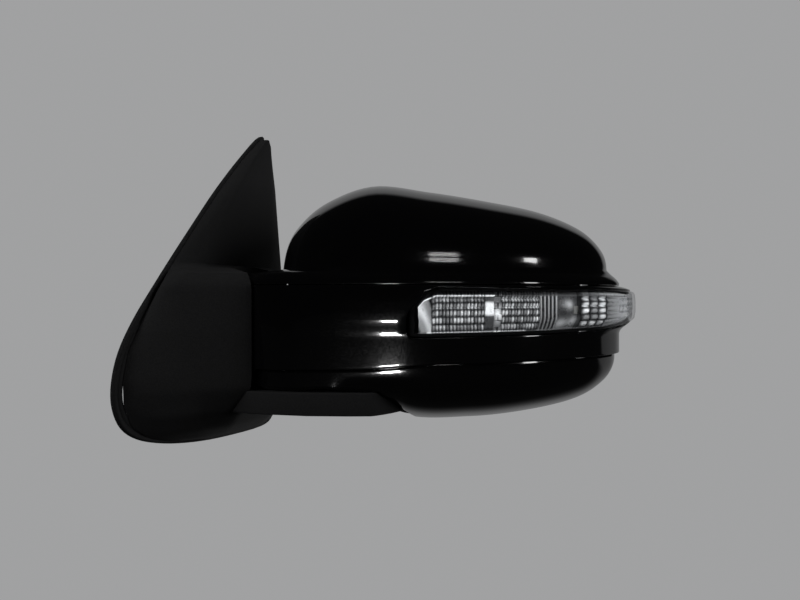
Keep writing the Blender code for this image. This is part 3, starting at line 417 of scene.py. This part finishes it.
def settle(obj, body, slot_name, material, *nodes):
    """Gives a finished piece its material, its body and the CAD nodes that it stands for."""
    obj.data.materials.clear()
    obj.data.materials.append(material)
    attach(obj, body)
    if nodes:
        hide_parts(*nodes)
    return obj


# ---- materials --------------------------------------------------------------------------------
class Finish:
    """A Principled material whose colour, roughness and relief come from procedural noise."""

    def __init__(self, name, colour, roughness, metallic=0.0, spread=0.15, rough_spread=0.04,
                 scale=400.0, **sockets):
        self.material = bpy.data.materials.new(name)
        self.material.use_nodes = True
        self.tree = self.material.node_tree
        self.shader = self.tree.nodes["Principled BSDF"]
        self.place = self.tree.nodes.new("ShaderNodeTexCoord").outputs["Object"]
        self.shader.inputs["Metallic"].default_value = metallic
        for socket, value in sockets.items():
            self.shader.inputs[socket.replace("_", " ")].default_value = value
        fleck = self.noise(scale)
        if colour:
            dark = [channel * (1 - spread) for channel in colour]
            light = [min(channel * (1 + spread), 1) for channel in colour]
            self.link(self.ramp(fleck, dark, light), "Base Color")
        self.link(self.span(fleck, roughness - rough_spread, roughness + rough_spread), "Roughness")

    def link(self, output, socket):
        self.tree.links.new(output, self.shader.inputs[socket])

    def noise(self, scale, detail=3.0):
        node = self.tree.nodes.new("ShaderNodeTexNoise")
        node.inputs["Scale"].default_value = scale
        node.inputs["Detail"].default_value = detail
        self.tree.links.new(self.place, node.inputs["Vector"])
        return node.outputs["Fac"]

    def grain(self, scale):
        node = self.tree.nodes.new("ShaderNodeTexVoronoi")
        node.inputs["Scale"].default_value = scale
        self.tree.links.new(self.place, node.inputs["Vector"])
        return node.outputs["Distance"]

    def ramp(self, source, dark, light, low=0.3, high=0.7):
        node = self.tree.nodes.new("ShaderNodeValToRGB")
        node.color_ramp.elements[0].position = low
        node.color_ramp.elements[1].position = high
        node.color_ramp.elements[0].color = (*dark, 1)
        node.color_ramp.elements[1].color = (*light, 1)
        self.tree.links.new(source, node.inputs["Fac"])
        return node.outputs["Color"]

    def span(self, source, low, high):
        node = self.tree.nodes.new("ShaderNodeMapRange")
        node.inputs["From Min"].default_value = 0.3
        node.inputs["From Max"].default_value = 0.7
        node.inputs["To Min"].default_value = max(low, 0.0)
        node.inputs["To Max"].default_value = high
        self.tree.links.new(source, node.inputs["Value"])
        return node.outputs["Result"]

    def relief(self, *layers):
        """Adds bump layers, each a (height output, depth in mm)."""
        normal = None
        for height, depth in layers:
            node = self.tree.nodes.new("ShaderNodeBump")
            node.inputs["Distance"].default_value = depth * MM
            self.tree.links.new(height, node.inputs["Height"])
            if normal:
                self.tree.links.new(normal, node.inputs["Normal"])
            normal = node.outputs["Normal"]
        self.link(normal, "Normal")
        return self


def gloss_black():
    finish = Finish("gloss black", (0.0012, 0.0012, 0.0014), 0.09, rough_spread=0.02, scale=900,
                    Coat_Weight=0.6, Coat_Roughness=0.03, Specular_IOR_Level=0.5)
    return finish.relief((finish.noise(260, 1), 0.006)).material


def textured_black():
    finish = Finish("textured black", (0.019, 0.019, 0.0195), 0.55, spread=0.2, rough_spread=0.06,
                    scale=1300, Specular_IOR_Level=0.12)
    return finish.relief((finish.grain(1500), 0.05), (finish.noise(2600, 2), 0.03)).material


def black_rubber():
    finish = Finish("black rubber", (0.016, 0.016, 0.0165), 0.62, spread=0.2, scale=700)
    return finish.relief((finish.noise(1800, 3), 0.02)).material


def clear_plastic():
    """Clear moulding, the same all over: light passes unbent, and it mirrors more towards the edge."""
    material = bpy.data.materials.new("clear lens")
    material.use_nodes = True
    nodes, links = material.node_tree.nodes, material.node_tree.links
    nodes.remove(nodes["Principled BSDF"])
    clear = nodes.new("ShaderNodeBsdfTransparent")
    clear.inputs["Color"].default_value = (0.93, 0.935, 0.94, 1)
    mirror = nodes.new("ShaderNodeBsdfGlossy")
    mirror.inputs["Roughness"].default_value = 0.03
    facing = nodes.new("ShaderNodeLayerWeight")
    facing.inputs["Blend"].default_value = 0.5
    steep = nodes.new("ShaderNodeMath")
    steep.operation = "POWER"
    steep.inputs[1].default_value = 5.0
    edge = nodes.new("ShaderNodeMapRange")
    edge.inputs["To Min"].default_value = 0.04
    edge.inputs["To Max"].default_value = 0.6
    mix = nodes.new("ShaderNodeMixShader")
    links.new(facing.outputs["Facing"], steep.inputs[0])
    links.new(steep.outputs["Value"], edge.inputs["Value"])
    links.new(edge.outputs["Result"], mix.inputs["Fac"])
    links.new(clear.outputs["BSDF"], mix.inputs[1])
    links.new(mirror.outputs["BSDF"], mix.inputs[2])
    links.new(mix.outputs["Shader"], nodes["Material Output"].inputs["Surface"])
    return material


def lamp_chrome():
    """Metallised plastic whose colour is painted light and shade: lighter where make_reflector's points
    carry painted reflections, darker where they carry painted shade.
    """
    finish = Finish("lamp chrome with painted reflections", None, 0.3, metallic=0.2, rough_spread=0.05, scale=300)
    painted_reflection = finish.tree.nodes.new("ShaderNodeAttribute")
    painted_reflection.attribute_name = "painted_reflection"
    # Painted reflections: the per-point brightness sets the base colour, from near black to near white.
    painted_reflection_colour = finish.ramp(painted_reflection.outputs["Fac"], (0.002, 0.002, 0.003), (0.96, 0.97, 0.98), 0.0, 1.0)
    finish.link(painted_reflection_colour, "Base Color")
    return finish.relief((finish.noise(900, 2), 0.03)).material


def silvered_glass():
    return Finish("silvered glass", (0.78, 0.8, 0.81), 0.015, metallic=1.0, spread=0.01,
                  rough_spread=0.008, scale=120).material


def metal(name, colour, roughness, scale=900, depth=0.02):
    finish = Finish(name, colour, roughness, metallic=1.0, spread=0.12, rough_spread=0.08, scale=scale)
    return finish.relief((finish.noise(scale, 3), depth)).material


def moulding(name, colour, roughness=0.45):
    finish = Finish(name, colour, roughness, spread=0.12, rough_spread=0.06, scale=800)
    return finish.relief((finish.noise(1500, 2), 0.015)).material


MATERIALS = {
    "gloss_black": gloss_black(),
    "textured_black": textured_black(),
    "black_rubber": black_rubber(),
    "clear_lens": clear_plastic(),
    "lamp_chrome": lamp_chrome(),
    "mirror": silvered_glass(),
    "cast_alloy": metal("cast alloy", (0.5, 0.51, 0.52), 0.5, 500, 0.08),
    "steel": metal("zinc plated steel", (0.6, 0.6, 0.58), 0.3),
    "moulded_grey": moulding("moulded grey", (0.075, 0.075, 0.08)),
    "white_acetal": moulding("white acetal", (0.7, 0.7, 0.67), 0.35),
    "circuit_board": moulding("circuit board", (0.02, 0.12, 0.06), 0.4),
}


def finish_cad_nodes():
    """Every CAD node gets its slot's material and soft edges; those replaced later are hidden."""
    slots = {part["node"]: part["material_slot"] for part in frame["record"]["subparts"]}
    for node, obj in frame["nodes"].items():
        obj.data.materials.clear()
        obj.data.materials.append(MATERIALS[slots[node]])
        add_modifier(obj, "BEVEL", width=0.3 * MM, segments=2, limit_method="ANGLE",
                     angle_limit=math.radians(40))
        obj.data.shade_smooth()
        obj.data.set_sharp_from_angle(angle=math.radians(35))


# ---- head covers ------------------------------------------------------------------------------
HUB_HOLE_R = 24.8        # hole of the lower cover round the pivot's hub
FOOT_HOLE_R = 28.5       # hole of the foot under it
WINDOW_EDGE = 0.35       # gap between the lens and the painted housing
LAMP_START_X = 65.5      # left end of the lamp's window, in the head's frame
BELT_ROWS = (12, 7, 4)   # rows below, across and above the window


def column_marks():
    """Plan fractions of the fine grid, closer together round the slanted end of the lamp."""
    ends = [0, ARC_SHARE, LENS_FROM, LENS_FROM + 0.034, LENS_TO, 1]
    counts = [28, 14, 26, 96, 8]
    spans = [np.linspace(a, b, n, endpoint=False) for a, b, n in zip(ends, ends[1:], counts)]
    return np.concatenate(spans + [[1.0]])


def make_upper_cover():
    grid = upper_cover_grid(column_marks(), 26)
    rows = [grid[0], grid[1]]
    for share in (0.25, 0.5, 0.75):
        flare = grid[1] + (grid[2] - grid[1]) * share
        flare[:, :2] += (grid[1] - grid[2])[:, :2] * (0.42 * share * (1 - share))
        rows.append(flare)
    rows.append(grid[2])
    for share in (0.3, 0.6, 0.85):
        rows.append(grid[2] + (grid[3] - grid[2]) * share)
    rows += grid[3:]
    obj = cover("upper_shell", rows)
    roll_edges(obj, 0.5, 50)
    settle(obj, "head", "gloss_black", MATERIALS["gloss_black"], "upper_cover")


def make_front_housing():
    fractions = column_marks()
    x = belt_plans(fractions)[0][:, 0]
    low, high = lens_edges(np.maximum(x, LAMP_START_X), -WINDOW_EDGE)
    bottom = belt_bottom(x)
    below, across, above = BELT_ROWS
    heights = [bottom + (low - bottom) * row / below for row in range(below)]
    heights += [low + (high - low) * row / across for row in range(across)]
    heights += [high + (BELT_TOP - high) * row / above for row in range(above + 1)]
    grid = [belt_point(fractions, height) for height in heights]

    def in_window(row, column):
        inside = LENS_FROM - 1e-6 <= fractions[column] < LENS_TO - 1e-6
        return below <= row < below + across and inside

    obj = cover("belt_shell", grid, skip=in_window)
    roll_edges(obj, 0.45, 50)
    settle(obj, "head", "gloss_black", MATERIALS["gloss_black"], "front_housing")


def make_lower_cover():
    obj = cover("lower_shell", lower_cover_grid(column_marks(), 24))
    clearance = foot_outline(FOOT_GAP, reach=45) + [(-120, 0), (-120, -120), (58.6, -120)]
    hub = [(HUB_HOLE_R * math.cos(a), HUB_HOLE_R * math.sin(a))
           for a in np.linspace(0, math.tau, 65)[:-1]]
    cut(obj, prism("foot_clearance", clearance, -120, FOOT_TOP + 0.8), prism("hub_hole", hub, -70, -50))
    roll_edges(obj, 0.4, 55, 2)
    settle(obj, "head", "gloss_black", MATERIALS["gloss_black"], "lower_cover")


# ---- rear surround and mirror glass -----------------------------------------------------------
RING_STATIONS = 240


def ring_angles():
    return np.arange(RING_STATIONS) * math.tau / RING_STATIONS


def make_bezel():
    rim = lambda offset: around(rim_outline(), GLASS_CENTRE, ring_angles(), offset)
    opening = lambda offset: around(GLASS_OUTLINE, GLASS_CENTRE, ring_angles(), GLASS_ROOM + offset)
    profile = [(rim(0.6), 51.4), (rim(0.6), 53.2), (rim(-0.3), 54.3), (rim(-1.2), 54.8),
               (opening(1.5), 54.2), (opening(0.4), 53.6), (opening(0), 52.8), (opening(0), 42),
               (opening(0), 30), (opening(2.2), 30), (opening(2.2), 51.4)]
    swing = STUB_R + 0.4
    sections = np.stack([np.column_stack([np.maximum(plan[:, 0], -math.sqrt(swing**2 - y**2)),
                                          np.full(len(plan), y), plan[:, 1]])
                         for plan, y in profile], axis=1)
    obj = hoop("rear_surround", sections)
    roll_edges(obj, 0.4, 50, 2)
    settle(obj, "head", "gloss_black", MATERIALS["gloss_black"], "rear_bezel")


def make_mirror_glass():
    """Glass with a ground edge."""
    outline = lambda offset, y: [(x, y, z) for x, z in
                                 around(GLASS_OUTLINE, GLASS_CENTRE, ring_angles(), offset)]
    glass = loft("glass_face", [outline(0, 42.7), outline(0, 44.2), outline(-0.35, 44.7),
                                outline(-0.9, 44.9)])
    glass.data.shade_smooth()
    glass.data.set_sharp_from_angle(angle=math.radians(8))
    settle(glass, "glass", "mirror", MATERIALS["mirror"], "mirror_glass")


# ---- base on the door -------------------------------------------------------------------------
LEVEL_STEP = 1.5
CORNER = 3.2             # how far each plan corner of the base is cut back before rounding


def round_corners(ring, reach):
    """Each corner of an open plan polyline becomes three points on a small curve."""
    out = [ring[0]]
    for before, here, after in zip(ring, ring[1:], ring[2:]):
        back, ahead = np.linalg.norm(before - here), np.linalg.norm(after - here)
        start = here + (before - here) * min(reach / back, 0.4)
        end = here + (after - here) * min(reach / ahead, 0.4)
        for t in (0, 0.33, 0.67, 1):
            out.append((1 - t) ** 2 * start + 2 * t * (1 - t) * here + t**2 * end)
    return np.array(out + [ring[-1]])


def base_levels():
    return np.arange(-103, 130.5 + LEVEL_STEP / 2, LEVEL_STEP)


def fine_base_rings():
    """Rings of the base cover with rounded corners, softened a little along its height."""
    levels = base_levels()
    rings = np.array([base_ring(z) for z in levels])
    kernel = np.array([1, 2, 3, 2, 1]) / 9
    padded = np.concatenate([rings[:1]] * 2 + [rings] + [rings[-1:]] * 2)
    soft = sum(weight * padded[i:i + len(rings)] for i, weight in enumerate(kernel))
    soft[:, 0, 0] = rings[:, 0, 0]
    soft[:, -1, 0] = rings[:, -1, 0]
    soft[levels > 119] = rings[levels > 119]
    return [at_height(round_corners(ring, CORNER), z) for ring, z in zip(soft, levels)]


def cylinder(name, radius, low, high):
    plan = [(AXIS_X + radius * math.cos(a), radius * math.sin(a))
            for a in np.linspace(0, math.tau, 193)[:-1]]
    return prism(name, plan, low, high, on_head=False)


def make_base_cover():
    obj = loft("base_shell", fine_base_rings(), on_head=False)
    cut(obj, cylinder("recess", RECESS_R, FOOT_TOP - 0.3, 60))
    foot = prism("foot", foot_outline(0) + FOOT_FRONT, FOOT_BOTTOM, FOOT_TOP)
    roll_edges(foot, 1.1, 40, 4)
    cut(obj, foot, how="UNION")
    inside = loft("inside", [inner_ring(z) for z in np.arange(-99, 122, 4)], on_head=False)
    cut(inside, cylinder("keep", RECESS_R + COVER_WALL, FOOT_TOP - COVER_WALL - 0.4, 60))
    pocket = [(x * 0.95, y * 0.95) for x, y in foot_outline(-1) + FOOT_FRONT]
    cut(inside, prism("pocket", pocket, FOOT_BOTTOM + COVER_WALL, FOOT_TOP - COVER_WALL), how="UNION")
    cut(obj, inside)
    cut(obj, cylinder("hub", FOOT_HOLE_R, FOOT_TOP - 6, FOOT_TOP + 6))
    obj.data.shade_smooth()
    obj.data.set_sharp_from_angle(angle=math.radians(32))
    settle(obj, "base", "textured_black", MATERIALS["textured_black"], "base_cover")


def make_gasket():
    """Rubber edge seal: a rolled lip round the cover and a groove inside it."""
    outline = smooth_through(DOOR_OUTLINE, np.arange(0, len(DOOR_OUTLINE), 0.25), closed=True)
    rings = [(0, 0.0), (0, 1.6), (0.3, 2.3), (0.9, 2.9), (1.6, GASKET), (2.6, 2.8), (3.2, 2.2),
             (3.9, 2.2), (4.4, 2.8), (7.0, GASKET), (7.0, 0.0)]
    plans = [(shrink_ring(outline, distance), x) for distance, x in rings]
    sections = np.stack([np.column_stack([np.full(len(plan), x), plan]) for plan, x in plans], axis=1)
    obj = hoop("edge_seal", sections, on_head=False)
    obj.data.shade_smooth()
    obj.data.set_sharp_from_angle(angle=math.radians(50))
    settle(obj, "base", "black_rubber", MATERIALS["black_rubber"], "base_gasket")


# ---- turn lamp --------------------------------------------------------------------------------
# Regions of the reflector by x in the head's frame: end of region, kind, pitch of its pattern, mm.
REFLECTOR = [(83, "curve", 0), (119, "pillows", 2.4), (125, "block", 4), (131, "bars", 3),
             (158, "pillows", 2.2), (172, "ribs", 2.9), (191, "bowl", 19), (213, "pillows", 7.0),
             (300, "stripes", 1)]
LAMP_START, LAMP_TIP = 60.0, 225.0   # x where the regions start, and where the lamp turns the corner
REFLECTOR_ROWS = 5
RIM_BELOW, RIM_ABOVE = 0.05, 0.88    # shares of the lamp's height where its plain borders end
REFLECTOR_DEPTH = 6.5


def lens_level(fractions, share, shrink):
    low, high = lens_edges(belt_plans(fractions)[0][:, 0], shrink)
    return low + (high - low) * share


def lens_marks(count=130):
    return LENS_FROM + 0.003 + (LENS_TO - LENS_FROM - 0.006) * np.linspace(0, 1, count) ** 1.3


def make_lens():
    """Clear lens with rounded edges, flush with the belt."""
    fractions = lens_marks()
    profile = [(0.0, 0.55), (0.03, 0.1), (0.1, 0.0), (0.3, 0.0), (0.5, 0.0), (0.7, 0.0), (0.9, 0.0),
               (0.97, 0.1), (1.0, 0.55), (1.0, 1.9), (0.9, 2.0), (0.5, 2.0), (0.1, 2.0), (0.0, 1.9)]
    rings = np.stack([belt_point(fractions, lens_level(fractions, share, 0.9), inset)
                      for share, inset in profile], axis=1)
    obj = loft("lens", rings)
    obj.data.shade_smooth()
    obj.data.set_sharp_from_angle(angle=math.radians(45))
    settle(obj, "head", "clear_lens", MATERIALS["clear_lens"], "lamp_lens")


def reflector_relief(x, share):
    """How far the reflector stands out of its back, mm, for its regions along the lamp."""
    out = np.zeros_like(x)
    start = LAMP_START
    for end, kind, pitch in REFLECTOR:
        here = (x >= start) & (x < end)
        along = (x - start) / max(pitch, 1)
        cell_x = np.abs(np.sin(math.pi * along)) ** 0.5
        cell_z = np.abs(np.sin(math.pi * share * REFLECTOR_ROWS)) ** 0.5
        if kind == "curve":
            value = 5.0 * (1 - np.clip((x - 70) / 13, 0, 1)) ** 2 + 0.3
        elif kind == "pillows":
            value = 2.4 * cell_x * cell_z
        elif kind == "block":
            value = 3.2 * np.clip(np.minimum(share, 1 - share) * 9, 0, 1)
        elif kind == "bars":
            value = 2.2 * (np.sin(math.pi * share * 7) > 0) * (cell_x > 0.5)
        elif kind == "ribs":
            value = 1.3 * cell_x
        elif kind == "stripes":
            value = 1.0 * cell_z
        else:
            middle = ((x - start - pitch / 2) / 6.5) ** 2 + ((share - 0.45) / 0.36) ** 2
            value = -3.5 + 4.5 * np.exp(-1.6 * middle)
        out = np.where(here, value, out)
        start = end
    return out


def painted_reflections(x, share):
    """Painted reflections of the optics, 0 to 1: the light they would catch, painted into their colour
    at points along (x) and up (share) the lamp.
    """
    painted_reflection = np.zeros_like(x)
    start = LAMP_START
    inner = (share - RIM_BELOW) / (RIM_ABOVE - RIM_BELOW)
    # Each region's pattern is painted light and shade: bright cells, streaks and spots are painted
    # reflections of the lights, dark ones painted shade.
    for end, kind, pitch in REFLECTOR:
        here = (x >= start) & (x < end)
        across = (x - start) / (min(end, LAMP_TIP) - start)
        along = (x - start) / max(pitch, 1)
        row = inner * REFLECTOR_ROWS
        luck = np.sin((np.floor(along) * 5.7 + np.floor(row) * 31.3 + start) ** 2) ** 2
        cell = np.sin(math.pi * (along % 1)) * np.sin(math.pi * (row % 1))
        if kind == "curve":
            value = 0.5 - 0.3 * across + 0.45 * np.sin(across * 8 + inner * 3) ** 3
        elif kind == "pillows":
            weight = np.interp(inner, [0, 0.2, 0.45, 0.75, 1], [0.3, 0.75, 1.0, 0.85, 0.4])
            value = (0.25 + 0.75 * luck) * weight * np.clip(1.4 * cell, 0, 1) ** 1.6 + 0.01
        elif kind == "block":
            value = 0.8 * np.clip(np.minimum(inner - 0.4, 0.85 - inner) * 12, 0, 1) + 0.05
        elif kind == "bars":
            value = 0.1 + 0.85 * np.exp(-(((inner - 0.45) / 0.2) ** 2) - ((across - 0.6) / 0.4) ** 2)
        elif kind == "ribs":
            value = 0.02 + 0.5 * np.sin(math.pi * (along % 1)) ** 8 * (0.3 + 0.7 * inner)
        elif kind == "stripes":
            value = 0.16 + 0.16 * across - 0.15 * (1 - across) * np.sin(math.pi * inner * 7) ** 6
        else:
            highlight_spots = [((across - at) / 0.22) ** 2 + ((inner - up) / 0.13) ** 2
                     for at, up in ((0.3, 0.15), (0.75, 0.2), (0.55, 0.72))]
            value = 0.04 + 0.35 * sum(np.exp(-spot) for spot in highlight_spots)
        painted_reflection = np.where(here, value, painted_reflection)
        start = end
    # Painted highlights along the top and bottom rims of the optics, and painted light on the ledge
    # above them.
    ledge_light = np.interp(x, [110, 160, 200, 215], [0.01, 0.03, 0.1, 0.3])
    top_highlight = np.where(x < 126, 0.9, 0.1)
    bottom_highlight = np.where((x > 80) & (x < 150), 0.8, 0.15)
    painted_reflection = np.where(share > RIM_ABOVE, ledge_light, painted_reflection)
    painted_reflection = np.where(abs(share - RIM_ABOVE) < 0.02, top_highlight, painted_reflection)
    painted_reflection = np.where(share < RIM_BELOW, bottom_highlight, painted_reflection)
    return np.clip(painted_reflection, 0, 1)


def make_reflector():
    fractions = np.linspace(LENS_FROM + 0.012, LENS_TO - 0.012, 480)
    shares = np.linspace(0, 1, 61)
    x = belt_plans(fractions)[0][:, 0]
    rows = []
    for share in shares:
        taper = np.interp(fractions, [0.66, 0.72], [1.0, 0.55])
        inset = 2.6 + (REFLECTOR_DEPTH - reflector_relief(x, np.full_like(x, share))) * taper
        rows.append(belt_point(fractions, lens_level(fractions, share, 1.9), inset))
    grid = np.array(rows)
    mesh = outward_faces(mesh_of(grid.reshape(-1, 3), quad_faces(*grid.shape[:2])))
    # Painted reflections: each point stores the brightness that the lamp chrome's colour shows in place
    # of caught light.
    painted_reflection = mesh.attributes.new("painted_reflection", "FLOAT", "POINT")
    along, up = np.broadcast_arrays(x[None, :], shares[:, None])
    painted_reflection.data.foreach_set("value", painted_reflections(along, up).astype(np.float32).ravel())
    obj = new_object("reflector", mesh)
    add_modifier(obj, "SOLIDIFY", thickness=0.6 * MM, offset=-1)
    apply_modifiers(obj)
    obj.data.shade_smooth()
    obj.data.set_sharp_from_angle(angle=math.radians(40))
    settle(obj, "head", "lamp_chrome", MATERIALS["lamp_chrome"], "lamp_reflector")


def make_wrap_ribs():
    """Thin clear ribs that run along the wrapped end of the lens, inside it."""
    fractions = np.linspace(0.72, 0.9, 40)
    for number, share in enumerate((0.2, 0.4, 0.6, 0.8)):
        section = [(share - 0.035, 2.3), (share + 0.035, 2.3), (share + 0.02, 4.2), (share - 0.02, 4.2)]
        rings = np.stack([belt_point(fractions, lens_level(fractions, level, 2.4), inset)
                          for level, inset in section], axis=1)
        obj = loft(f"lens_rib_{number + 1}", rings)
        settle(obj, "head", "clear_lens", MATERIALS["clear_lens"])


# ---- studio -----------------------------------------------------------------------------------
CAMERA_AT = (0.3478, -0.4405, 0.0)
LENS_MM, SENSOR_MM = 31.185, 36.0
BACKDROP = 0.36          # linear brightness of the backdrop
FLOOR_Z = -0.42
HEAD_BACK = (-math.sin(math.radians(HEAD_YAW)), math.cos(math.radians(HEAD_YAW)), 0.0)


def make_camera():
    data = bpy.data.cameras.new("camera")
    data.lens, data.sensor_width = LENS_MM, SENSOR_MM
    data.clip_start = 0.01
    camera = bpy.data.objects.new("camera", data)
    bpy.context.scene.collection.objects.link(camera)
    camera.location = CAMERA_AT
    camera.rotation_euler = (math.pi / 2, 0, math.radians(HEAD_YAW))
    bpy.context.scene.camera = camera


def backdrop_mix(tree, seen, other):
    """Emission that the camera sees at one brightness and reflections at another."""
    path = tree.nodes.new("ShaderNodeLightPath")
    mix = tree.nodes.new("ShaderNodeMix")
    mix.data_type = "FLOAT"
    tree.links.new(path.outputs["Is Camera Ray"], mix.inputs["Factor"])
    mix.inputs["B"].default_value = seen
    if isinstance(other, float):
        mix.inputs["A"].default_value = other
    else:
        tree.links.new(other, mix.inputs["A"])
    return mix.outputs["Result"]


def behind(tree, kind):
    """How far a point or direction lies towards the back of the head."""
    coordinate = tree.nodes.new("ShaderNodeTexCoord")
    toward = tree.nodes.new("ShaderNodeVectorMath")
    toward.operation = "DOT_PRODUCT"
    toward.inputs[1].default_value = HEAD_BACK
    tree.links.new(coordinate.outputs[kind], toward.inputs[0])
    return toward.outputs["Value"]


def make_world():
    """A pale tent behind and above the mirror and a darker room in front of it."""
    world = bpy.data.worlds.new("studio")
    bpy.context.scene.world = world
    world.use_nodes = True
    tree = world.node_tree
    background = tree.nodes["Background"]
    background.inputs["Color"].default_value = (0.985, 0.99, 1.0, 1)
    room = tree.nodes.new("ShaderNodeMapRange")
    room.interpolation_type = "SMOOTHSTEP"
    for socket, value in (("From Min", 0.6), ("From Max", 0.74), ("To Min", 0.006), ("To Max", 0.24)):
        room.inputs[socket].default_value = value
    tree.links.new(behind(tree, "Generated"), room.inputs["Value"])
    strength = backdrop_mix(tree, BACKDROP, room.outputs["Result"])
    tree.links.new(strength, background.inputs["Strength"])


def make_floor():
    mesh = bpy.data.meshes.new("floor")
    mesh.from_pydata([(-9, -9, FLOOR_Z), (9, -9, FLOOR_Z), (9, 9, FLOOR_Z), (-9, 9, FLOOR_Z)], [],
                     [(0, 1, 2, 3)])
    floor = new_object("floor", mesh, on_head=False)
    material = bpy.data.materials.new("pale floor")
    material.use_nodes = True
    tree = material.node_tree
    tree.nodes.remove(tree.nodes["Principled BSDF"])
    glow = tree.nodes.new("ShaderNodeEmission")
    glow.inputs["Color"].default_value = (0.985, 0.99, 1.0, 1)
    shade = tree.nodes.new("ShaderNodeMapRange")
    shade.interpolation_type = "SMOOTHSTEP"
    for socket, value in (("From Min", 0.1), ("From Max", 0.5), ("To Min", 0.012), ("To Max", 0.2)):
        shade.inputs[socket].default_value = value
    toward = behind(tree, "Object")
    tree.links.new(toward, shade.inputs["Value"])
    tree.links.new(backdrop_mix(tree, BACKDROP, shade.outputs["Result"]), glow.inputs["Strength"])
    tree.links.new(glow.outputs["Emission"], tree.nodes["Material Output"].inputs["Surface"])
    mesh.materials.append(material)


LAMP_MIDDLE = (0.145, -0.055, -0.005)    # in the head's frame, m
LAMP_FILL = 28.0         # power of the light that reaches only the lamp's optics
# Small lights: name, the point of the paint (mm) that mirrors them to the camera, their direction from
# there in the head's frame, distance (m), size (m) and power.
MIRRORED_LIGHTS = [
    ("louvre_1", (181, -13, 30), (0.20, -0.95, 0.27), 1.5, (0.28, 0.014), 0.18),
    ("louvre_2", (181, -13, 30), (0.20, -0.95, 0.235), 1.5, (0.32, 0.014), 0.22),
    ("louvre_3", (181, -13, 30), (0.20, -0.95, 0.20), 1.5, (0.30, 0.014), 0.18),
    ("window", (231, 21, 24), (0.673, -0.734, 0.12), 1.5, (0.16, 0.30), 1.8),
    ("flash", (153, -35, -24), (-0.122, -0.968, -0.2), 0.6, (0.07, 0.04), 1.1),
]


def add_light(name, at, toward, size, power, spread=math.pi, mirrored=False):
    data = bpy.data.lights.new(name, "AREA")
    data.shape = "RECTANGLE"
    data.size, data.size_y = size
    data.energy = power
    data.spread = spread
    light = bpy.data.objects.new(name, data)
    bpy.context.scene.collection.objects.link(light)
    light.location = at
    light.rotation_euler = (Vector(toward) - Vector(at)).to_track_quat("-Z", "Y").to_euler()
    light.visible_glossy = mirrored
    light.visible_diffuse = not mirrored
    return light


def head_direction(x, y, z):
    """A direction given in the head's frame, as a world vector."""
    return (HEAD_PLACE.to_3x3() @ Vector((x, y, z))).normalized()


def light_only(light, group, *names):
    """Links a light to some pieces, so that it reaches no others."""
    lit = bpy.data.collections.get(group) or bpy.data.collections.new(group)
    for name in names:
        if name not in lit.objects:
            lit.objects.link(bpy.data.objects[name])
    light.light_linking.receiver_collection = lit


def make_lights():
    """Broad lights that only shade, small ones that the gloss paint mirrors, and one for the optics."""
    middle = (0.13, 0.0, 0.0)
    add_light("key", (-0.9, -1.6, 0.8), middle, (0.9, 0.6), 20.0)
    add_light("top", (0.0, 0.3, 1.9), middle, (1.2, 1.2), 6)
    add_light("side", (1.9, 0.3, 0.5), middle, (0.8, 1.2), 16)
    for name, seen_at, direction, away, size, power in MIRRORED_LIGHTS:
        seen_at = Vector(seen_at) * MM
        light = add_light(name, seen_at + head_direction(*direction) * away, seen_at, size, power,
                          mirrored=True)
        light_only(light, "paintwork", "upper_shell", "belt_shell", "lower_shell", "rear_surround")
    lamp_at = HEAD_PLACE @ Vector(LAMP_MIDDLE)
    fill = add_light("lamp_fill", lamp_at + head_direction(0.35, -0.9, 0.25) * 1.2, lamp_at, (0.5, 0.5),
                     LAMP_FILL)
    light_only(fill, "lamp_optics", "reflector")


scene = bpy.context.scene
scene.view_settings.view_transform = "Standard"
scene.view_settings.look = "None"
finish_cad_nodes()
make_upper_cover()
make_front_housing()
make_lower_cover()
make_bezel()
make_mirror_glass()
make_base_cover()
make_gasket()
make_lens()
make_reflector()
make_wrap_ribs()
make_camera()
make_world()
make_floor()
make_lights()
